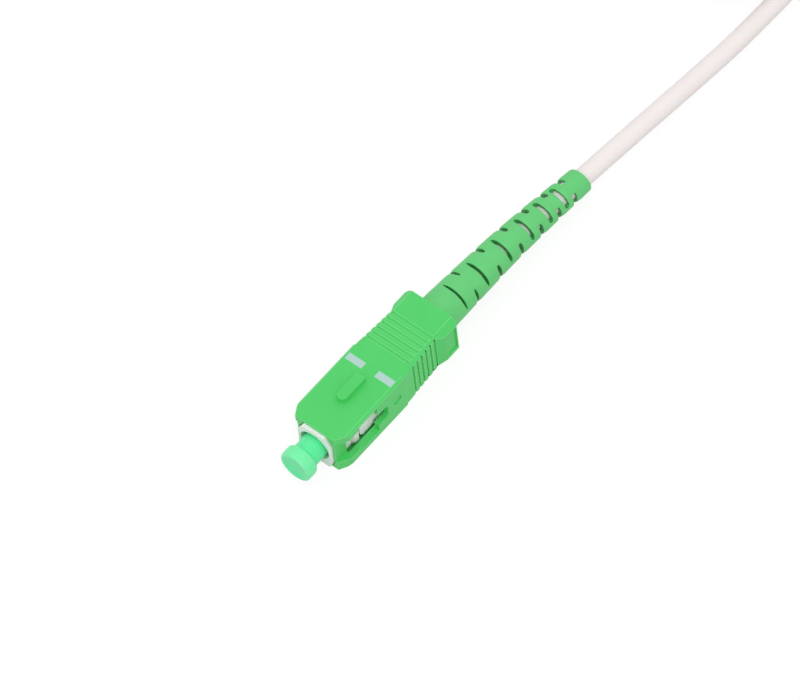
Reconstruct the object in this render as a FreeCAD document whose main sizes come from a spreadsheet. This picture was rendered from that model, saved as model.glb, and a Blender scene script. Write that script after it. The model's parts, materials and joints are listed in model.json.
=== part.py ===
import FreeCAD, Part
import math
import os
import re
import Sketcher

# SC/APC fibre optic connector on a 2.9 mm simplex cable. Millimetres.
# +X runs back along the optical axis from the mating face to the cable, +Z is the key side.
# The origin is on the optical axis, just behind the plug frame's front rim.

doc = FreeCAD.newDocument("FibreConnector")

# ---------------------------------------------------------------- driving sizes

SIZES = {
    # outer housing (the push-pull grip)
    "housing_setback": 0.3,
    "housing_length": 25.0,
    "housing_width": 9.0,
    "housing_height": 7.4,
    "front_bevel": 0.35,
    "corner_cut_across": 1.05,
    "corner_cut_along": 1.85,
    "rear_corner": 0.35,
    "waist_start": 13.65,
    "waist_end": 21.0,
    "waist_width_front": 8.86,
    "waist_width_rear": 7.9,
    "waist_bevel": 0.5,
    "crown_width": 7.0,
    "flare_ramp": 1.2,
    "flare_width": 9.06,
    "flare_bevel": 0.9,
    "rib_count": 6,
    "rib_pitch": 1.0,
    "rib_first": 15.75,
    "rib_groove_depth": 0.17,
    "rib_groove_floor": 0.14,
    "rib_groove_front": 0.22,
    "rib_groove_back": 0.14,
    "side_groove_width": 0.32,
    "side_groove_floor": 0.12,
    "side_groove_depth": 0.3,
    "panel_start": 22.6,
    "panel_rim": 0.5,
    "panel_height": 4.8,
    "panel_depth": 0.25,
    "key_start": 5.2,
    "key_end": 10.0,
    "key_width": 1.7,
    "key_height": 0.95,
    "key_edge_radius": 0.14,
    "dimple_place": 11.85,
    "dimple_radius": 0.8,
    "dimple_depth": 0.2,
    # side windows of the housing
    "post_thickness": 0.28,
    "post_length": 2.3,
    "window_low": 2.0,
    "window_high": 2.4,
    "window_length": 7.75,
    "window_wall": 1.0,
    "slot_half_height": 1.25,
    "slot_end": 9.8,
    "slot_corner": 0.35,
    "pocket_low": 2.5,
    "pocket_high": 3.0,
    "pocket_start": 3.6,
    "pocket_knee": 4.95,
    "pocket_depth": 0.78,
    "cavity_width": 6.4,
    "cavity_chamfer": 0.6,
    # plug frame
    "plug_front": 0.2,
    "plug_width": 5.68,
    "plug_height": 6.6,
    "top_cut_across": 1.0,
    "top_cut_down": 1.75,
    "low_cut_across": 0.45,
    "low_cut_up": 1.1,
    "plug_length": 15.2,
    "front_block_end": 3.95,
    "core_width": 5.1,
    "core_height": 6.2,
    "core_chamfer": 1.1,
    "barrel_radius": 2.95,
    "catch_start": 4.1,
    "catch_face": 5.3,
    "catch_width": 6.3,
    "catch_half_height": 2.45,
    "catch_bevel": 0.45,
    "boss_start": 5.6,
    "boss_middle": 8.2,
    "boss_radius": 3.1,
    "boss_end": 10.45,
    "sleeve_bore_radius": 2.45,
    "sleeve_bore_depth": 5.0,
    "wall_end": 5.9,
    "mouth_radius": 0.15,
    "snap_start": 11.4,
    "snap_length": 1.8,
    "snap_width": 2.0,
    # ferrule assembly
    "ferrule_radius": 1.2495,
    "ferrule_reach": 1.3,
    "ferrule_length": 10.5,
    "ferrule_chamfer": 0.3,
    "polish_angle": 8.0,
    "fibre_radius": 0.0625,
    "flange_radius": 2.05,
    "flange_thickness": 2.0,
    "flange_nose_radius": 1.55,
    "flange_nose_length": 0.7,
    "flange_tube_radius": 1.5,
    "flange_tube_end": 12.3,
    "flange_notch": 0.5,
    "buffer_radius": 0.45,
    "spring_wire": 0.4,
    "spring_radius": 1.8,
    "spring_turns": 6,
    "spring_flats": 6,
    # stop ring, crimp and yarn
    "stop_front": 10.7,
    "stop_seat": 14.4,
    "stop_wall": 0.35,
    "stop_flange_radius": 2.9,
    "stop_flange_thickness": 1.0,
    "crimp_barrel_radius": 1.9,
    "crimp_barrel_end": 21.4,
    "crimp_barrel_bore": 1.0,
    "knurl_depth": 0.12,
    "knurl_count": 18,
    "yarn_thickness": 0.35,
    "crimp_wall": 0.2,
    "crimp_shoulder": 22.2,
    "crimp_taper": 1.0,
    "crimp_neck_wall": 0.4,
    "crimp_end": 27.4,
    "cable_start": 22.8,
    # boot
    "boot_length": 39.4,
    "boot_radius": 2.96,
    "boot_taper_start": 26.5,
    "boot_end_radius": 1.97,
    "boot_end_round": 0.22,
    "boot_roll": 28.0,
    "boot_slot_angle": 56.0,
    "boot_slot_first_width": 0.34,
    "boot_slot_last_width": 0.9,
    "top_slot_1": 3.8,
    "top_slot_2": 8.6,
    "top_slot_3": 13.5,
    "top_slot_4": 18.2,
    "top_slot_5": 22.05,
    "top_slot_6": 25.35,
    "side_slot_1": 6.8,
    "side_slot_2": 11.7,
    "side_slot_3": 16.3,
    "side_slot_4": 20.5,
    "side_slot_5": 24.2,
    "side_slot_6": 27.5,
    # dust cap
    "cap_head_radius": 2.55,
    "cap_head_length": 2.2,
    "cap_head_draft": 0.06,
    "cap_head_round": 0.32,
    "cap_dish": 0.12,
    "cap_neck_radius": 2.02,
    "cap_neck_length": 2.48,
    "cap_reach": 4.0,
    "cap_bore_end": 0.6,
    # cable and hank
    "cable_radius": 1.43,
    "hank_start": 94.0,
    "hank_length": 58.0,
    "hank_across": 26.0,
    "hank_strands": 2,
    "hank_layers": 4,
    "hank_offset": 7.0,
    "tie_thickness": 0.4,
    "tie_width": 6.0,
    # clearances
    "sliding_gap": 0.1,
    "post_gap": 0.1,
    "ferrule_gap": 0.03,
    "seat_gap": 0.05,
    "float_gap": 0.1,
    "boot_gap": 0.15,
    "boot_bore_gap": 0.12,
}

sheet = doc.addObject("Spreadsheet::Sheet", "Sizes")
for row, (name, size) in enumerate(SIZES.items(), start=1):
    sheet.set(f"A{row}", name)
    sheet.set(f"B{row}", str(size))
    sheet.setAlias(f"B{row}", name)
doc.recompute()

# lengths that several pieces share, worked out from the driving sizes
SHARED = {
    "housing_rear": "(housing_setback + housing_length)",
    "mouth_half_width": "(plug_width / 2 + post_gap)",
    "cavity_half_height": "(plug_height / 2 + float_gap / 2)",
    "window_inner": "(housing_width / 2 - window_wall)",
    "ferrule_front": "(-ferrule_reach)",
    "ferrule_rear": "(ferrule_length - ferrule_reach)",
    "flange_rear": "(wall_end + flange_thickness)",
    "spring_bore_radius": "(flange_radius + float_gap)",
    "stop_radius": "(barrel_radius - 0.5)",
    "yarn_outer": "(crimp_barrel_radius + yarn_thickness)",
    "crimp_bore": "(yarn_outer + seat_gap / 2)",
    "crimp_outer": "(crimp_bore + crimp_wall)",
    "crimp_front": "(plug_length + stop_flange_thickness + seat_gap)",
    "neck_bore": "(cable_radius + seat_gap / 2)",
    "neck_outer": "(neck_bore + crimp_neck_wall)",
    "boot_rear": "(crimp_front + boot_length)",
}


def bound(text):
    """The expression with every size's name pointed at the sheet."""
    while any(re.search(rf"\b{name}\b", text) for name in SHARED):
        for name, meaning in SHARED.items():
            text = re.sub(rf"\b{name}\b", meaning, text)
    return re.sub(r"[a-z]\w*", lambda m: f"Sizes.{m[0]}" if m[0] in SIZES else m[0], text)


def value(text):
    """The expression's present value, for first guesses and for Part's own functions."""
    found = sheet.evalExpression(bound(text))
    return float(getattr(found, "Value", found))


# ---------------------------------------------------------------- sketches and features


def new_body(label):
    body = doc.addObject("PartDesign::Body", label)
    body.Label = label
    return body


def origin_part(body, role):
    return next(item for item in body.Origin.OriginFeatures if item.Role == role)


def new_sketch(body, plane, offset="0"):
    """A sketch on one of the body's own origin planes, moved along its normal by offset."""
    sketch = body.newObject("Sketcher::SketchObject", f"{body.Label}_{plane[:2].lower()}_sketch")
    sketch.AttachmentSupport = (origin_part(body, plane), [""])
    sketch.MapMode = "FlatFace"
    sketch.AttachmentOffset = FreeCAD.Placement(FreeCAD.Vector(0, 0, value(offset)), FreeCAD.Rotation())
    if offset != "0":
        sketch.setExpression("AttachmentOffset.Base.z", bound(offset))
    return sketch


def fix_point(sketch, shape, end, across, up):
    """Hold one end of a line, or a circle's centre, at a place given by two expressions."""
    for kind, text, axis in (("DistanceX", across, -2), ("DistanceY", up, -1)):
        if text == "0":
            sketch.addConstraint(Sketcher.Constraint("PointOnObject", shape, end, axis))
            continue
        number = sketch.addConstraint(Sketcher.Constraint(kind, -1, 1, shape, end, value(text)))
        sketch.setExpression(f"Constraints[{number}]", bound(text))


def polygon(sketch, corners):
    """A closed outline whose corners are (across, up) expressions."""
    points = [FreeCAD.Vector(value(across), value(up), 0) for across, up in corners]
    ends = points[1:] + points[:1]
    lines = [sketch.addGeometry(Part.LineSegment(a, b)) for a, b in zip(points, ends)]
    for line, following in zip(lines, lines[1:] + lines[:1]):
        sketch.addConstraint(Sketcher.Constraint("Coincident", line, 2, following, 1))
    for line, (across, up) in zip(lines, corners):
        fix_point(sketch, line, 1, across, up)
    return sketch


def circle(sketch, across, up, radius):
    middle = FreeCAD.Vector(value(across), value(up), 0)
    ring = sketch.addGeometry(Part.Circle(middle, FreeCAD.Vector(0, 0, 1), value(radius)))
    fix_point(sketch, ring, 3, across, up)
    number = sketch.addConstraint(Sketcher.Constraint("Radius", ring, value(radius)))
    sketch.setExpression(f"Constraints[{number}]", bound(radius))
    return sketch


def box_corners(left, right, low, high):
    return [(left, low), (right, low), (right, high), (left, high)]


def octagon(half_width, half_height, cut):
    """An upright rectangle about the axis with its four corners cut off."""
    wide, inner = half_width, f"({half_width} - {cut})"
    tall, lower = half_height, f"({half_height} - {cut})"
    return [
        (f"-{inner}", f"-{tall}"),
        (inner, f"-{tall}"),
        (wide, f"-{lower}"),
        (wide, lower),
        (inner, tall),
        (f"-{inner}", tall),
        (f"-{wide}", lower),
        (f"-{wide}", f"-{lower}"),
    ]


def extrude(body, kind, sketch, length, symmetric=False, backwards=False):
    """A Pad or a Pocket of the sketch."""
    feature = body.newObject(f"PartDesign::{kind}", f"{body.Label}_{kind.lower()}")
    feature.Profile = sketch
    feature.Length = value(length)
    feature.setExpression("Length", bound(length))
    if symmetric:
        feature.SideType = "Symmetric"
    feature.Reversed = backwards
    return feature


def pad(body, sketch, length, symmetric=False, backwards=False):
    return extrude(body, "Pad", sketch, length, symmetric, backwards)


def pocket(body, sketch, length, symmetric=False, backwards=False):
    """A cut, which has to take something off the solid."""
    doc.recompute()
    before = body.Shape.Volume
    feature = extrude(body, "Pocket", sketch, length, symmetric, backwards)
    doc.recompute()
    if body.Shape.Volume > before - 1e-6:
        raise RuntimeError(f"{feature.Label} cuts nothing")
    return feature


def section_pad(body, corners, start, end):
    """A prism of a cross-section, from one place along the axis to another."""
    return pad(body, polygon(new_sketch(body, "YZ_Plane", start), corners), f"({end}) - ({start})")


def round_pad(body, radius, start, end):
    sketch = circle(new_sketch(body, "YZ_Plane", start), "0", "0", radius)
    return pad(body, sketch, f"({end}) - ({start})")


def section_pocket(body, corners, start, end):
    sketch = polygon(new_sketch(body, "YZ_Plane", start), corners)
    return pocket(body, sketch, f"({end}) - ({start})", backwards=True)


def bore(body, radius, start, end):
    sketch = circle(new_sketch(body, "YZ_Plane", start), "0", "0", radius)
    return pocket(body, sketch, f"({end}) - ({start})", backwards=True)


def turned(label, corners):
    """A body turned about the optical axis from an (along, radius) outline."""
    body = new_body(label)
    sketch = polygon(new_sketch(body, "XZ_Plane"), corners)
    turn = body.newObject("PartDesign::Revolution", f"{label}_revolution")
    turn.Profile = sketch
    turn.ReferenceAxis = (sketch, ["H_Axis"])
    turn.Angle = 360
    return body


def edges_where(body, wanted):
    """Names of the solid's edges that the test picks."""
    doc.recompute()
    edges = body.Shape.Edges
    return [f"Edge{n}" for n, edge in enumerate(edges, start=1) if wanted(edge)]


def fillet(body, wanted, radius):
    base = body.Tip
    names = edges_where(body, wanted)
    feature = body.newObject("PartDesign::Fillet", f"{body.Label}_fillet")
    feature.Base = (base, names)
    feature.Radius = value(radius)
    feature.setExpression("Radius", bound(radius))
    return feature


def repeat_along(body, feature, pitch, count):
    row = body.newObject("PartDesign::LinearPattern", f"{body.Label}_row")
    row.Originals = [feature]
    row.Direction = (origin_part(body, "X_Axis"), [""])
    row.Length = value(f"{pitch} * ({count} - 1)")
    row.setExpression("Length", bound(f"{pitch} * ({count} - 1)"))
    row.Occurrences = int(value(count))
    row.setExpression("Occurrences", bound(count))
    body.Tip = row
    return row


def repeat_round(body, feature, count):
    ring = body.newObject("PartDesign::PolarPattern", f"{body.Label}_ring")
    ring.Originals = [feature]
    ring.Axis = (origin_part(body, "X_Axis"), [""])
    ring.Angle = 360
    ring.Occurrences = int(value(count))
    if count in SIZES:
        ring.setExpression("Occurrences", bound(count))
    body.Tip = ring
    return ring


def from_front(place):
    """A place given from the housing's front face, counted from the mating face."""
    return f"(housing_setback + {place})"


# ---------------------------------------------------------------- outer housing


def bevelled(half_width, half_height, crown, drop):
    """An upright rectangle whose corners slope from a narrower crown down by drop."""
    lower = f"({half_height} - {drop})"
    return [
        (f"-{crown}", f"-{half_height}"),
        (crown, f"-{half_height}"),
        (half_width, f"-{lower}"),
        (half_width, lower),
        (crown, half_height),
        (f"-{crown}", half_height),
        (f"-{half_width}", lower),
        (f"-{half_width}", f"-{lower}"),
    ]


def housing_blank(body):
    """Solid outer form: plain front, bevelled waist that narrows, and a flared rear."""
    half_width, half_height = "(housing_width / 2)", "(housing_height / 2)"
    section_pad(
        body,
        octagon(half_width, half_height, "front_bevel"),
        "housing_setback",
        from_front("waist_start"),
    )
    crown = "(crown_width / 2)"
    flare_half = "(flare_width / 2)"
    stations = [
        ("waist_start", "(waist_width_front / 2)", "waist_bevel"),
        ("waist_end", "(waist_width_rear / 2)", "waist_bevel"),
        ("(waist_end + flare_ramp)", flare_half, "flare_bevel"),
        ("housing_length", flare_half, "flare_bevel"),
    ]
    sketches = [
        polygon(
            new_sketch(body, "YZ_Plane", from_front(place)),
            bevelled(half, half_height, crown, drop),
        )
        for place, half, drop in stations
    ]
    loft = body.newObject("PartDesign::AdditiveLoft", "housing_loft")
    loft.Profile = sketches[0]
    loft.Sections = sketches[1:]
    loft.Ruled = True
    return loft


def housing_corners(body):
    """The upright corners are cut off at a slant, seen from above: long in front, short behind."""
    sketch = new_sketch(body, "XY_Plane")
    front, back = "housing_setback", "(housing_setback + corner_cut_along)"
    rear, before = "housing_rear", "(housing_rear - rear_corner)"
    for side in ("", "-"):
        edge = f"{side}(housing_width / 2)"
        inner = f"{side}(housing_width / 2 - corner_cut_across)"
        polygon(sketch, [(front, inner), (back, edge), (front, edge)])
        edge = f"{side}(flare_width / 2)"
        inner = f"{side}(flare_width / 2 - rear_corner)"
        polygon(sketch, [(rear, inner), (before, edge), (rear, edge)])
    pocket(body, sketch, "housing_height + 1", symmetric=True)


def housing_key(body):
    """The polarity key on top: round at the front, square at the rear."""
    nose = from_front("(key_start + key_width / 2)")
    top = "(housing_height / 2 - front_bevel)"
    height = "key_height + front_bevel"
    block = polygon(
        new_sketch(body, "XY_Plane", top),
        box_corners(nose, from_front("key_end"), "-key_width / 2", "key_width / 2"),
    )
    pad(body, block, height)
    pad(body, circle(new_sketch(body, "XY_Plane", top), nose, "0", "key_width / 2"), height)
    crown = value("housing_height / 2 + key_height")
    fillet(
        body,
        lambda edge: min(v.Z for v in edge.Vertexes) > crown - 0.01 and edge.Length < 20,
        "key_edge_radius",
    )


def housing_ribs(body):
    """Grip ribs: a row of grooves over top and bottom, and one down each side."""
    along = from_front("rib_first")
    floor = "rib_groove_floor / 2"
    sketch = new_sketch(body, "XZ_Plane")
    for side in ("", "-"):
        outside = f"{side}(housing_height / 2)"
        bottom = f"{side}(housing_height / 2 - rib_groove_depth)"
        polygon(
            sketch,
            [
                (f"{along} - {floor} - rib_groove_front", outside),
                (f"{along} - {floor}", bottom),
                (f"{along} + {floor}", bottom),
                (f"{along} + {floor} + rib_groove_back", outside),
            ],
        )
    groove = pocket(body, sketch, "crown_width", symmetric=True)
    repeat_along(body, groove, "rib_pitch", "rib_count")
    # the side grooves follow the narrowing waist, so each is drawn at its own depth
    narrowing = "(waist_width_front - waist_width_rear) / 2 / (waist_end - waist_start)"
    sketch = new_sketch(body, "XY_Plane")
    for number in range(SIZES["rib_count"]):
        place = f"(rib_first + {number} * rib_pitch)"
        face = f"(waist_width_front / 2 - ({place} - waist_start) * {narrowing})"
        for side in ("", "-"):
            outside = f"{side}({face} + side_groove_depth)"
            bottom = f"{side}({face} - side_groove_depth)"
            polygon(
                sketch,
                [
                    (from_front(f"{place} - side_groove_width"), outside),
                    (from_front(f"{place} - side_groove_floor / 2"), bottom),
                    (from_front(f"{place} + side_groove_floor / 2"), bottom),
                    (from_front(f"{place} + side_groove_width"), outside),
                ],
            )
    pocket(body, sketch, "housing_height - 2 * waist_bevel", symmetric=True)


def housing_side_marks(body):
    """On each side: the sunk panel of the flare and the round moulding dimple."""
    start, end = from_front("panel_start"), from_front("(housing_length - panel_rim)")
    half = "(panel_height / 2)"
    for backwards in (False, True):
        wall = "-" if backwards else ""
        face = f"{wall}(flare_width / 2 - panel_depth)"
        panel = polygon(
            new_sketch(body, "XZ_Plane", f"-({face})"),
            box_corners(start, end, f"-{half}", half),
        )
        pocket(body, panel, "2 * panel_depth", backwards=backwards)
        face = f"{wall}(housing_width / 2 - dimple_depth)"
        dimple = new_sketch(body, "XZ_Plane", f"-({face})")
        circle(dimple, from_front("dimple_place"), "0", "dimple_radius")
        pocket(body, dimple, "2 * dimple_depth", backwards=backwards)


def frame_section(across_gap="0", up_gap="0"):
    """The plug frame's outline: tall slanted corners on top, smaller ones below."""
    wide = f"(plug_width / 2 + {across_gap})"
    tall = f"(plug_height / 2 + {up_gap})"
    crown, shoulder = f"({wide} - top_cut_across)", f"({tall} - top_cut_down)"
    toe, heel = f"({wide} - low_cut_across)", f"({tall} - low_cut_up)"
    return [
        (f"-{toe}", f"-{tall}"),
        (toe, f"-{tall}"),
        (wide, f"-{heel}"),
        (wide, shoulder),
        (crown, tall),
        (f"-{crown}", tall),
        (f"-{wide}", shoulder),
        (f"-{wide}", f"-{heel}"),
    ]


def housing_cavity(body):
    """A mouth that guides the plug frame, room behind it, and the hole for the boot."""
    post_back = from_front("post_length")
    section_pocket(
        body, frame_section("post_gap", "float_gap / 2"), "housing_setback", post_back
    )
    section_pocket(
        body,
        octagon("(cavity_width / 2)", "cavity_half_height", "cavity_chamfer"),
        post_back,
        "(crimp_front + 1)",
    )
    bore(body, "(boot_radius + boot_gap)", "crimp_front", "(housing_rear + 0.1)")


def housing_windows(body):
    """Latch windows through both sides, with a thin post in front and release pockets."""
    front = "housing_setback"
    post_back = from_front("post_length")
    window_end = from_front("window_length")
    slot_end = from_front("slot_end")
    post_face = "(mouth_half_width + post_thickness)"
    middle = "(plug_width / 4)"
    outside = "(housing_width / 2 + 0.5)"

    def cut_sides(start, end, inner, outer, low, high):
        sketch = new_sketch(body, "XY_Plane", f"({high} - {low}) / 2")
        for side in ("", "-"):
            polygon(sketch, box_corners(start, end, f"{side}{inner}", f"{side}{outer}"))
        pocket(body, sketch, f"{low} + {high}", symmetric=True)

    cut_sides(f"({front} - 0.1)", post_back, post_face, outside, "window_low", "window_high")
    cut_sides(post_back, window_end, middle, outside, "window_low", "window_high")
    # the slot behind each window ends in rounded corners
    shoulder = f"({slot_end} - slot_corner)"
    tall, low = "slot_half_height", "(slot_half_height - slot_corner)"
    slot = polygon(
        new_sketch(body, "XZ_Plane"),
        [
            (window_end, f"-{tall}"),
            (shoulder, f"-{tall}"),
            (shoulder, f"-{low}"),
            (slot_end, f"-{low}"),
            (slot_end, low),
            (shoulder, low),
            (shoulder, tall),
            (window_end, tall),
        ],
    )
    pocket(body, slot, "housing_width + 1", symmetric=True)
    rounds = new_sketch(body, "XZ_Plane")
    for side in ("", "-"):
        circle(rounds, shoulder, f"{side}{low}", "slot_corner")
    pocket(body, rounds, "housing_width + 1", symmetric=True)
    # inside the windows the cavity is wider than at the post
    room = "(boss_radius + sliding_gap)"
    cut_sides(post_back, f"({slot_end} + slot_corner)", middle, "window_inner", room, room)
    # release pockets in the outer face, which slope in to their full depth
    face = "housing_width / 2"
    sketch = new_sketch(body, "XY_Plane", "(pocket_high - pocket_low) / 2")
    for side in ("", "-"):
        polygon(
            sketch,
            [
                (from_front("pocket_start"), f"{side}({face})"),
                (from_front("pocket_knee"), f"{side}({face} - pocket_depth)"),
                (window_end, f"{side}({face} - pocket_depth)"),
                (window_end, f"{side}({face})"),
            ],
        )
    pocket(body, sketch, "pocket_low + pocket_high", symmetric=True)


def make_outer_housing():
    body = new_body("outer_housing")
    housing_blank(body)
    housing_corners(body)
    housing_key(body)
    housing_ribs(body)
    housing_side_marks(body)
    housing_cavity(body)
    housing_windows(body)
    return body


# ---------------------------------------------------------------- plug frame


def make_plug_frame():
    """White inner frame: guided front, latch catches, rounded side bosses and a rear barrel."""
    body = new_body("plug_frame")
    half, tall = "(plug_width / 2)", "(plug_height / 2)"
    section_pad(body, frame_section(), "-plug_front", "front_block_end")
    section_pad(
        body,
        octagon("(core_width / 2)", "(core_height / 2)", "core_chamfer"),
        "front_block_end",
        "boss_end",
    )
    boss = new_sketch(body, "XZ_Plane")
    circle(boss, "boss_middle", "0", "boss_radius")
    pad(body, boss, "plug_width", symmetric=True)
    boss = polygon(
        new_sketch(body, "XZ_Plane"),
        box_corners("boss_middle", "boss_end", "-boss_radius", "boss_radius"),
    )
    pad(body, boss, "plug_width", symmetric=True)
    # the bosses start at a flat, and nothing of their round stands behind their end
    sketch = new_sketch(body, "XY_Plane")
    for side in ("", "-"):
        inner, outer = f"{side}(core_width / 2)", f"{side}(plug_width / 2 + 0.1)"
        polygon(sketch, box_corners("front_block_end", "boss_start", inner, outer))
    behind = "(boss_middle + boss_radius + 0.1)"
    polygon(sketch, box_corners("boss_end", behind, f"-{half}", half))
    pocket(body, sketch, "plug_height", symmetric=True)
    # the bosses keep to the frame's outline
    sketch = new_sketch(body, "YZ_Plane", "boss_start")
    for side in ("", "-"):
        edge = f"{side}{half}"
        crown, toe = f"{side}({half} - top_cut_across)", f"{side}({half} - low_cut_across)"
        polygon(sketch, [(edge, f"{tall} - top_cut_down"), (edge, tall), (crown, tall)])
        polygon(sketch, [(edge, f"-({tall} - low_cut_up)"), (edge, f"-{tall}"), (toe, f"-{tall}")])
    pocket(body, sketch, "boss_end - boss_start", backwards=True)
    catch = new_sketch(body, "XY_Plane")
    for side in ("", "-"):
        inner = f"{side}(core_width / 2 - 0.1)"
        tip = f"{side}(catch_width / 2)"
        toe = f"{side}(catch_width / 2 - catch_bevel)"
        polygon(
            catch,
            [
                ("catch_start", inner),
                ("catch_start", toe),
                ("(catch_start + catch_bevel)", tip),
                ("catch_face", tip),
                ("catch_face", inner),
            ],
        )
    pad(body, catch, "2 * catch_half_height", symmetric=True)
    round_pad(body, "barrel_radius", "boss_end", "plug_length")
    bore(body, "sleeve_bore_radius", "-plug_front", "sleeve_bore_depth")
    bore(body, "(flange_nose_radius + seat_gap)", "sleeve_bore_depth", "wall_end")
    bore(body, "spring_bore_radius", "wall_end", "(stop_front - seat_gap)")
    bore(body, "(stop_radius + seat_gap)", "(stop_front - 2 * seat_gap)", "plug_length")
    windows = polygon(
        new_sketch(body, "XY_Plane"),
        box_corners("snap_start", "(snap_start + snap_length)", "-snap_width / 2", "snap_width / 2"),
    )
    pocket(body, windows, "2 * barrel_radius + 0.2", symmetric=True)
    mouth, front = value("sleeve_bore_radius"), value("-plug_front")
    fillet(
        body,
        lambda edge: edge.BoundBox.XMax < front + 1e-6
        and isinstance(edge.Curve, Part.Circle)
        and abs(edge.Curve.Radius - mouth) < 1e-6,
        "mouth_radius",
    )
    return body


# ---------------------------------------------------------------- ferrule assembly


def make_ferrule():
    """Zirconia ferrule with a chamfered, angle-polished end and a hole for the fibre."""
    inner = "ferrule_radius - ferrule_chamfer"
    body = turned(
        "ferrule",
        [
            ("ferrule_front", "fibre_radius"),
            ("ferrule_front", inner),
            ("ferrule_front + ferrule_chamfer * 2", "ferrule_radius"),
            ("ferrule_rear", "ferrule_radius"),
            ("ferrule_rear", "fibre_radius"),
        ],
    )
    slope = "2 * ferrule_radius * tan(polish_angle)"
    wedge = polygon(
        new_sketch(body, "XZ_Plane"),
        [
            ("ferrule_front", "-ferrule_radius"),
            (f"ferrule_front + {slope}", "ferrule_radius"),
            ("ferrule_front - 0.2", "ferrule_radius"),
            ("ferrule_front - 0.2", "-ferrule_radius"),
        ],
    )
    pocket(body, wedge, "2.2 * ferrule_radius", symmetric=True)
    return body


def make_fibre():
    """Bare glass, from the middle of the angled face to the ferrule's rear."""
    body = new_body("fibre")
    start = "(ferrule_front + ferrule_radius * tan(polish_angle))"
    round_pad(body, "fibre_radius", start, "ferrule_rear")
    return body


def make_ferrule_flange():
    """Metal collar and tube pressed on the ferrule, notched to be held from turning."""
    body = turned(
        "ferrule_flange",
        [
            ("wall_end - flange_nose_length", "ferrule_radius"),
            ("wall_end - flange_nose_length", "flange_nose_radius"),
            ("wall_end", "flange_nose_radius"),
            ("wall_end", "flange_radius"),
            ("flange_rear", "flange_radius"),
            ("flange_rear", "flange_tube_radius"),
            ("flange_tube_end", "flange_tube_radius"),
            ("flange_tube_end", "buffer_radius + float_gap"),
            ("ferrule_rear", "buffer_radius + float_gap"),
            ("ferrule_rear", "ferrule_radius"),
        ],
    )
    notch = polygon(
        new_sketch(body, "YZ_Plane", "wall_end"),
        box_corners(
            "-flange_notch / 2",
            "flange_notch / 2",
            "flange_radius - flange_notch * 0.7",
            "flange_radius + 0.1",
        ),
    )
    cut = pocket(body, notch, "flange_thickness", backwards=True)
    repeat_round(body, cut, "4")
    return body


def make_fibre_buffer():
    """Tight buffer from the ferrule's rear to the end of the cable's jacket."""
    body = new_body("fibre_buffer")
    round_pad(body, "buffer_radius", "ferrule_rear", "cable_start")
    return body


def make_spring():
    """Round-wire compression spring between the flange and the stop ring's seat."""
    wire = value("spring_wire / 2")
    radius = value("spring_radius")
    start = value("flange_rear + spring_wire / 2")
    height = value("stop_seat - flange_rear - spring_wire")
    helix = Part.makeHelix(height / value("spring_turns"), height, radius)
    flats = SIZES["spring_flats"]
    turns = [2 * math.pi * number / flats for number in range(flats + 1)]
    corners = [
        FreeCAD.Vector(radius + wire * math.cos(turn), 0, wire * math.sin(turn)) for turn in turns
    ]
    section = Part.makePolygon(corners)
    coil = Part.Wire(helix.Edges).makePipeShell([section], True, True)
    spring = doc.addObject("Part::Feature", "spring")
    spring.Label = "spring"
    spring.Shape = coil
    spring.Placement = FreeCAD.Placement(
        FreeCAD.Vector(start, 0, 0), FreeCAD.Rotation(FreeCAD.Vector(0, 1, 0), 90)
    )
    return spring


# ---------------------------------------------------------------- stop ring, yarn and crimp


def make_stop_ring():
    """Turned metal body: spring seat, flange behind the plug frame, and a knurled barrel."""
    flange_end = "plug_length + stop_flange_thickness"
    body = turned(
        "stop_ring",
        [
            ("stop_front", "stop_radius - stop_wall"),
            ("stop_front", "stop_radius"),
            ("plug_length", "stop_radius"),
            ("plug_length", "stop_flange_radius"),
            (flange_end, "stop_flange_radius"),
            (flange_end, "crimp_barrel_radius"),
            ("crimp_barrel_end", "crimp_barrel_radius"),
            ("crimp_barrel_end", "crimp_barrel_bore"),
            ("stop_seat", "crimp_barrel_bore"),
            ("stop_seat", "stop_radius - stop_wall"),
        ],
    )
    lugs = new_sketch(body, "XZ_Plane")
    for side in ("", "-"):
        root = f"{side}(stop_radius - stop_wall / 2)"
        polygon(
            lugs,
            [
                ("snap_start + seat_gap", root),
                ("snap_start + seat_gap", f"{side}(stop_radius + seat_gap)"),
                ("snap_start + snap_length - seat_gap", f"{side}(barrel_radius - seat_gap)"),
                ("snap_start + snap_length - seat_gap", root),
            ],
        )
    pad(body, lugs, "snap_width - 2 * seat_gap", symmetric=True)
    flute = polygon(
        new_sketch(body, "YZ_Plane", flange_end + " + 0.4"),
        [
            ("0", "crimp_barrel_radius - knurl_depth"),
            ("knurl_depth * 1.2", "crimp_barrel_radius + 0.05"),
            ("-knurl_depth * 1.2", "crimp_barrel_radius + 0.05"),
        ],
    )
    cut = pocket(body, flute, f"crimp_barrel_end - ({flange_end})", backwards=True)
    repeat_round(body, cut, "knurl_count")
    return body


def make_aramid_yarn():
    """The yarn, combed forward over the knurl and drawn in to the cable's end."""
    inner = "crimp_barrel_radius + seat_gap / 2"
    front = "crimp_front + 0.3"
    return turned(
        "aramid_yarn",
        [
            (front, inner),
            (front, "yarn_outer"),
            ("crimp_shoulder - 0.1", "yarn_outer"),
            ("cable_start", "cable_radius"),
            ("cable_start", "buffer_radius + float_gap"),
            ("crimp_barrel_end + seat_gap", "crimp_barrel_bore"),
            ("crimp_barrel_end + seat_gap", inner),
        ],
    )


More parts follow.
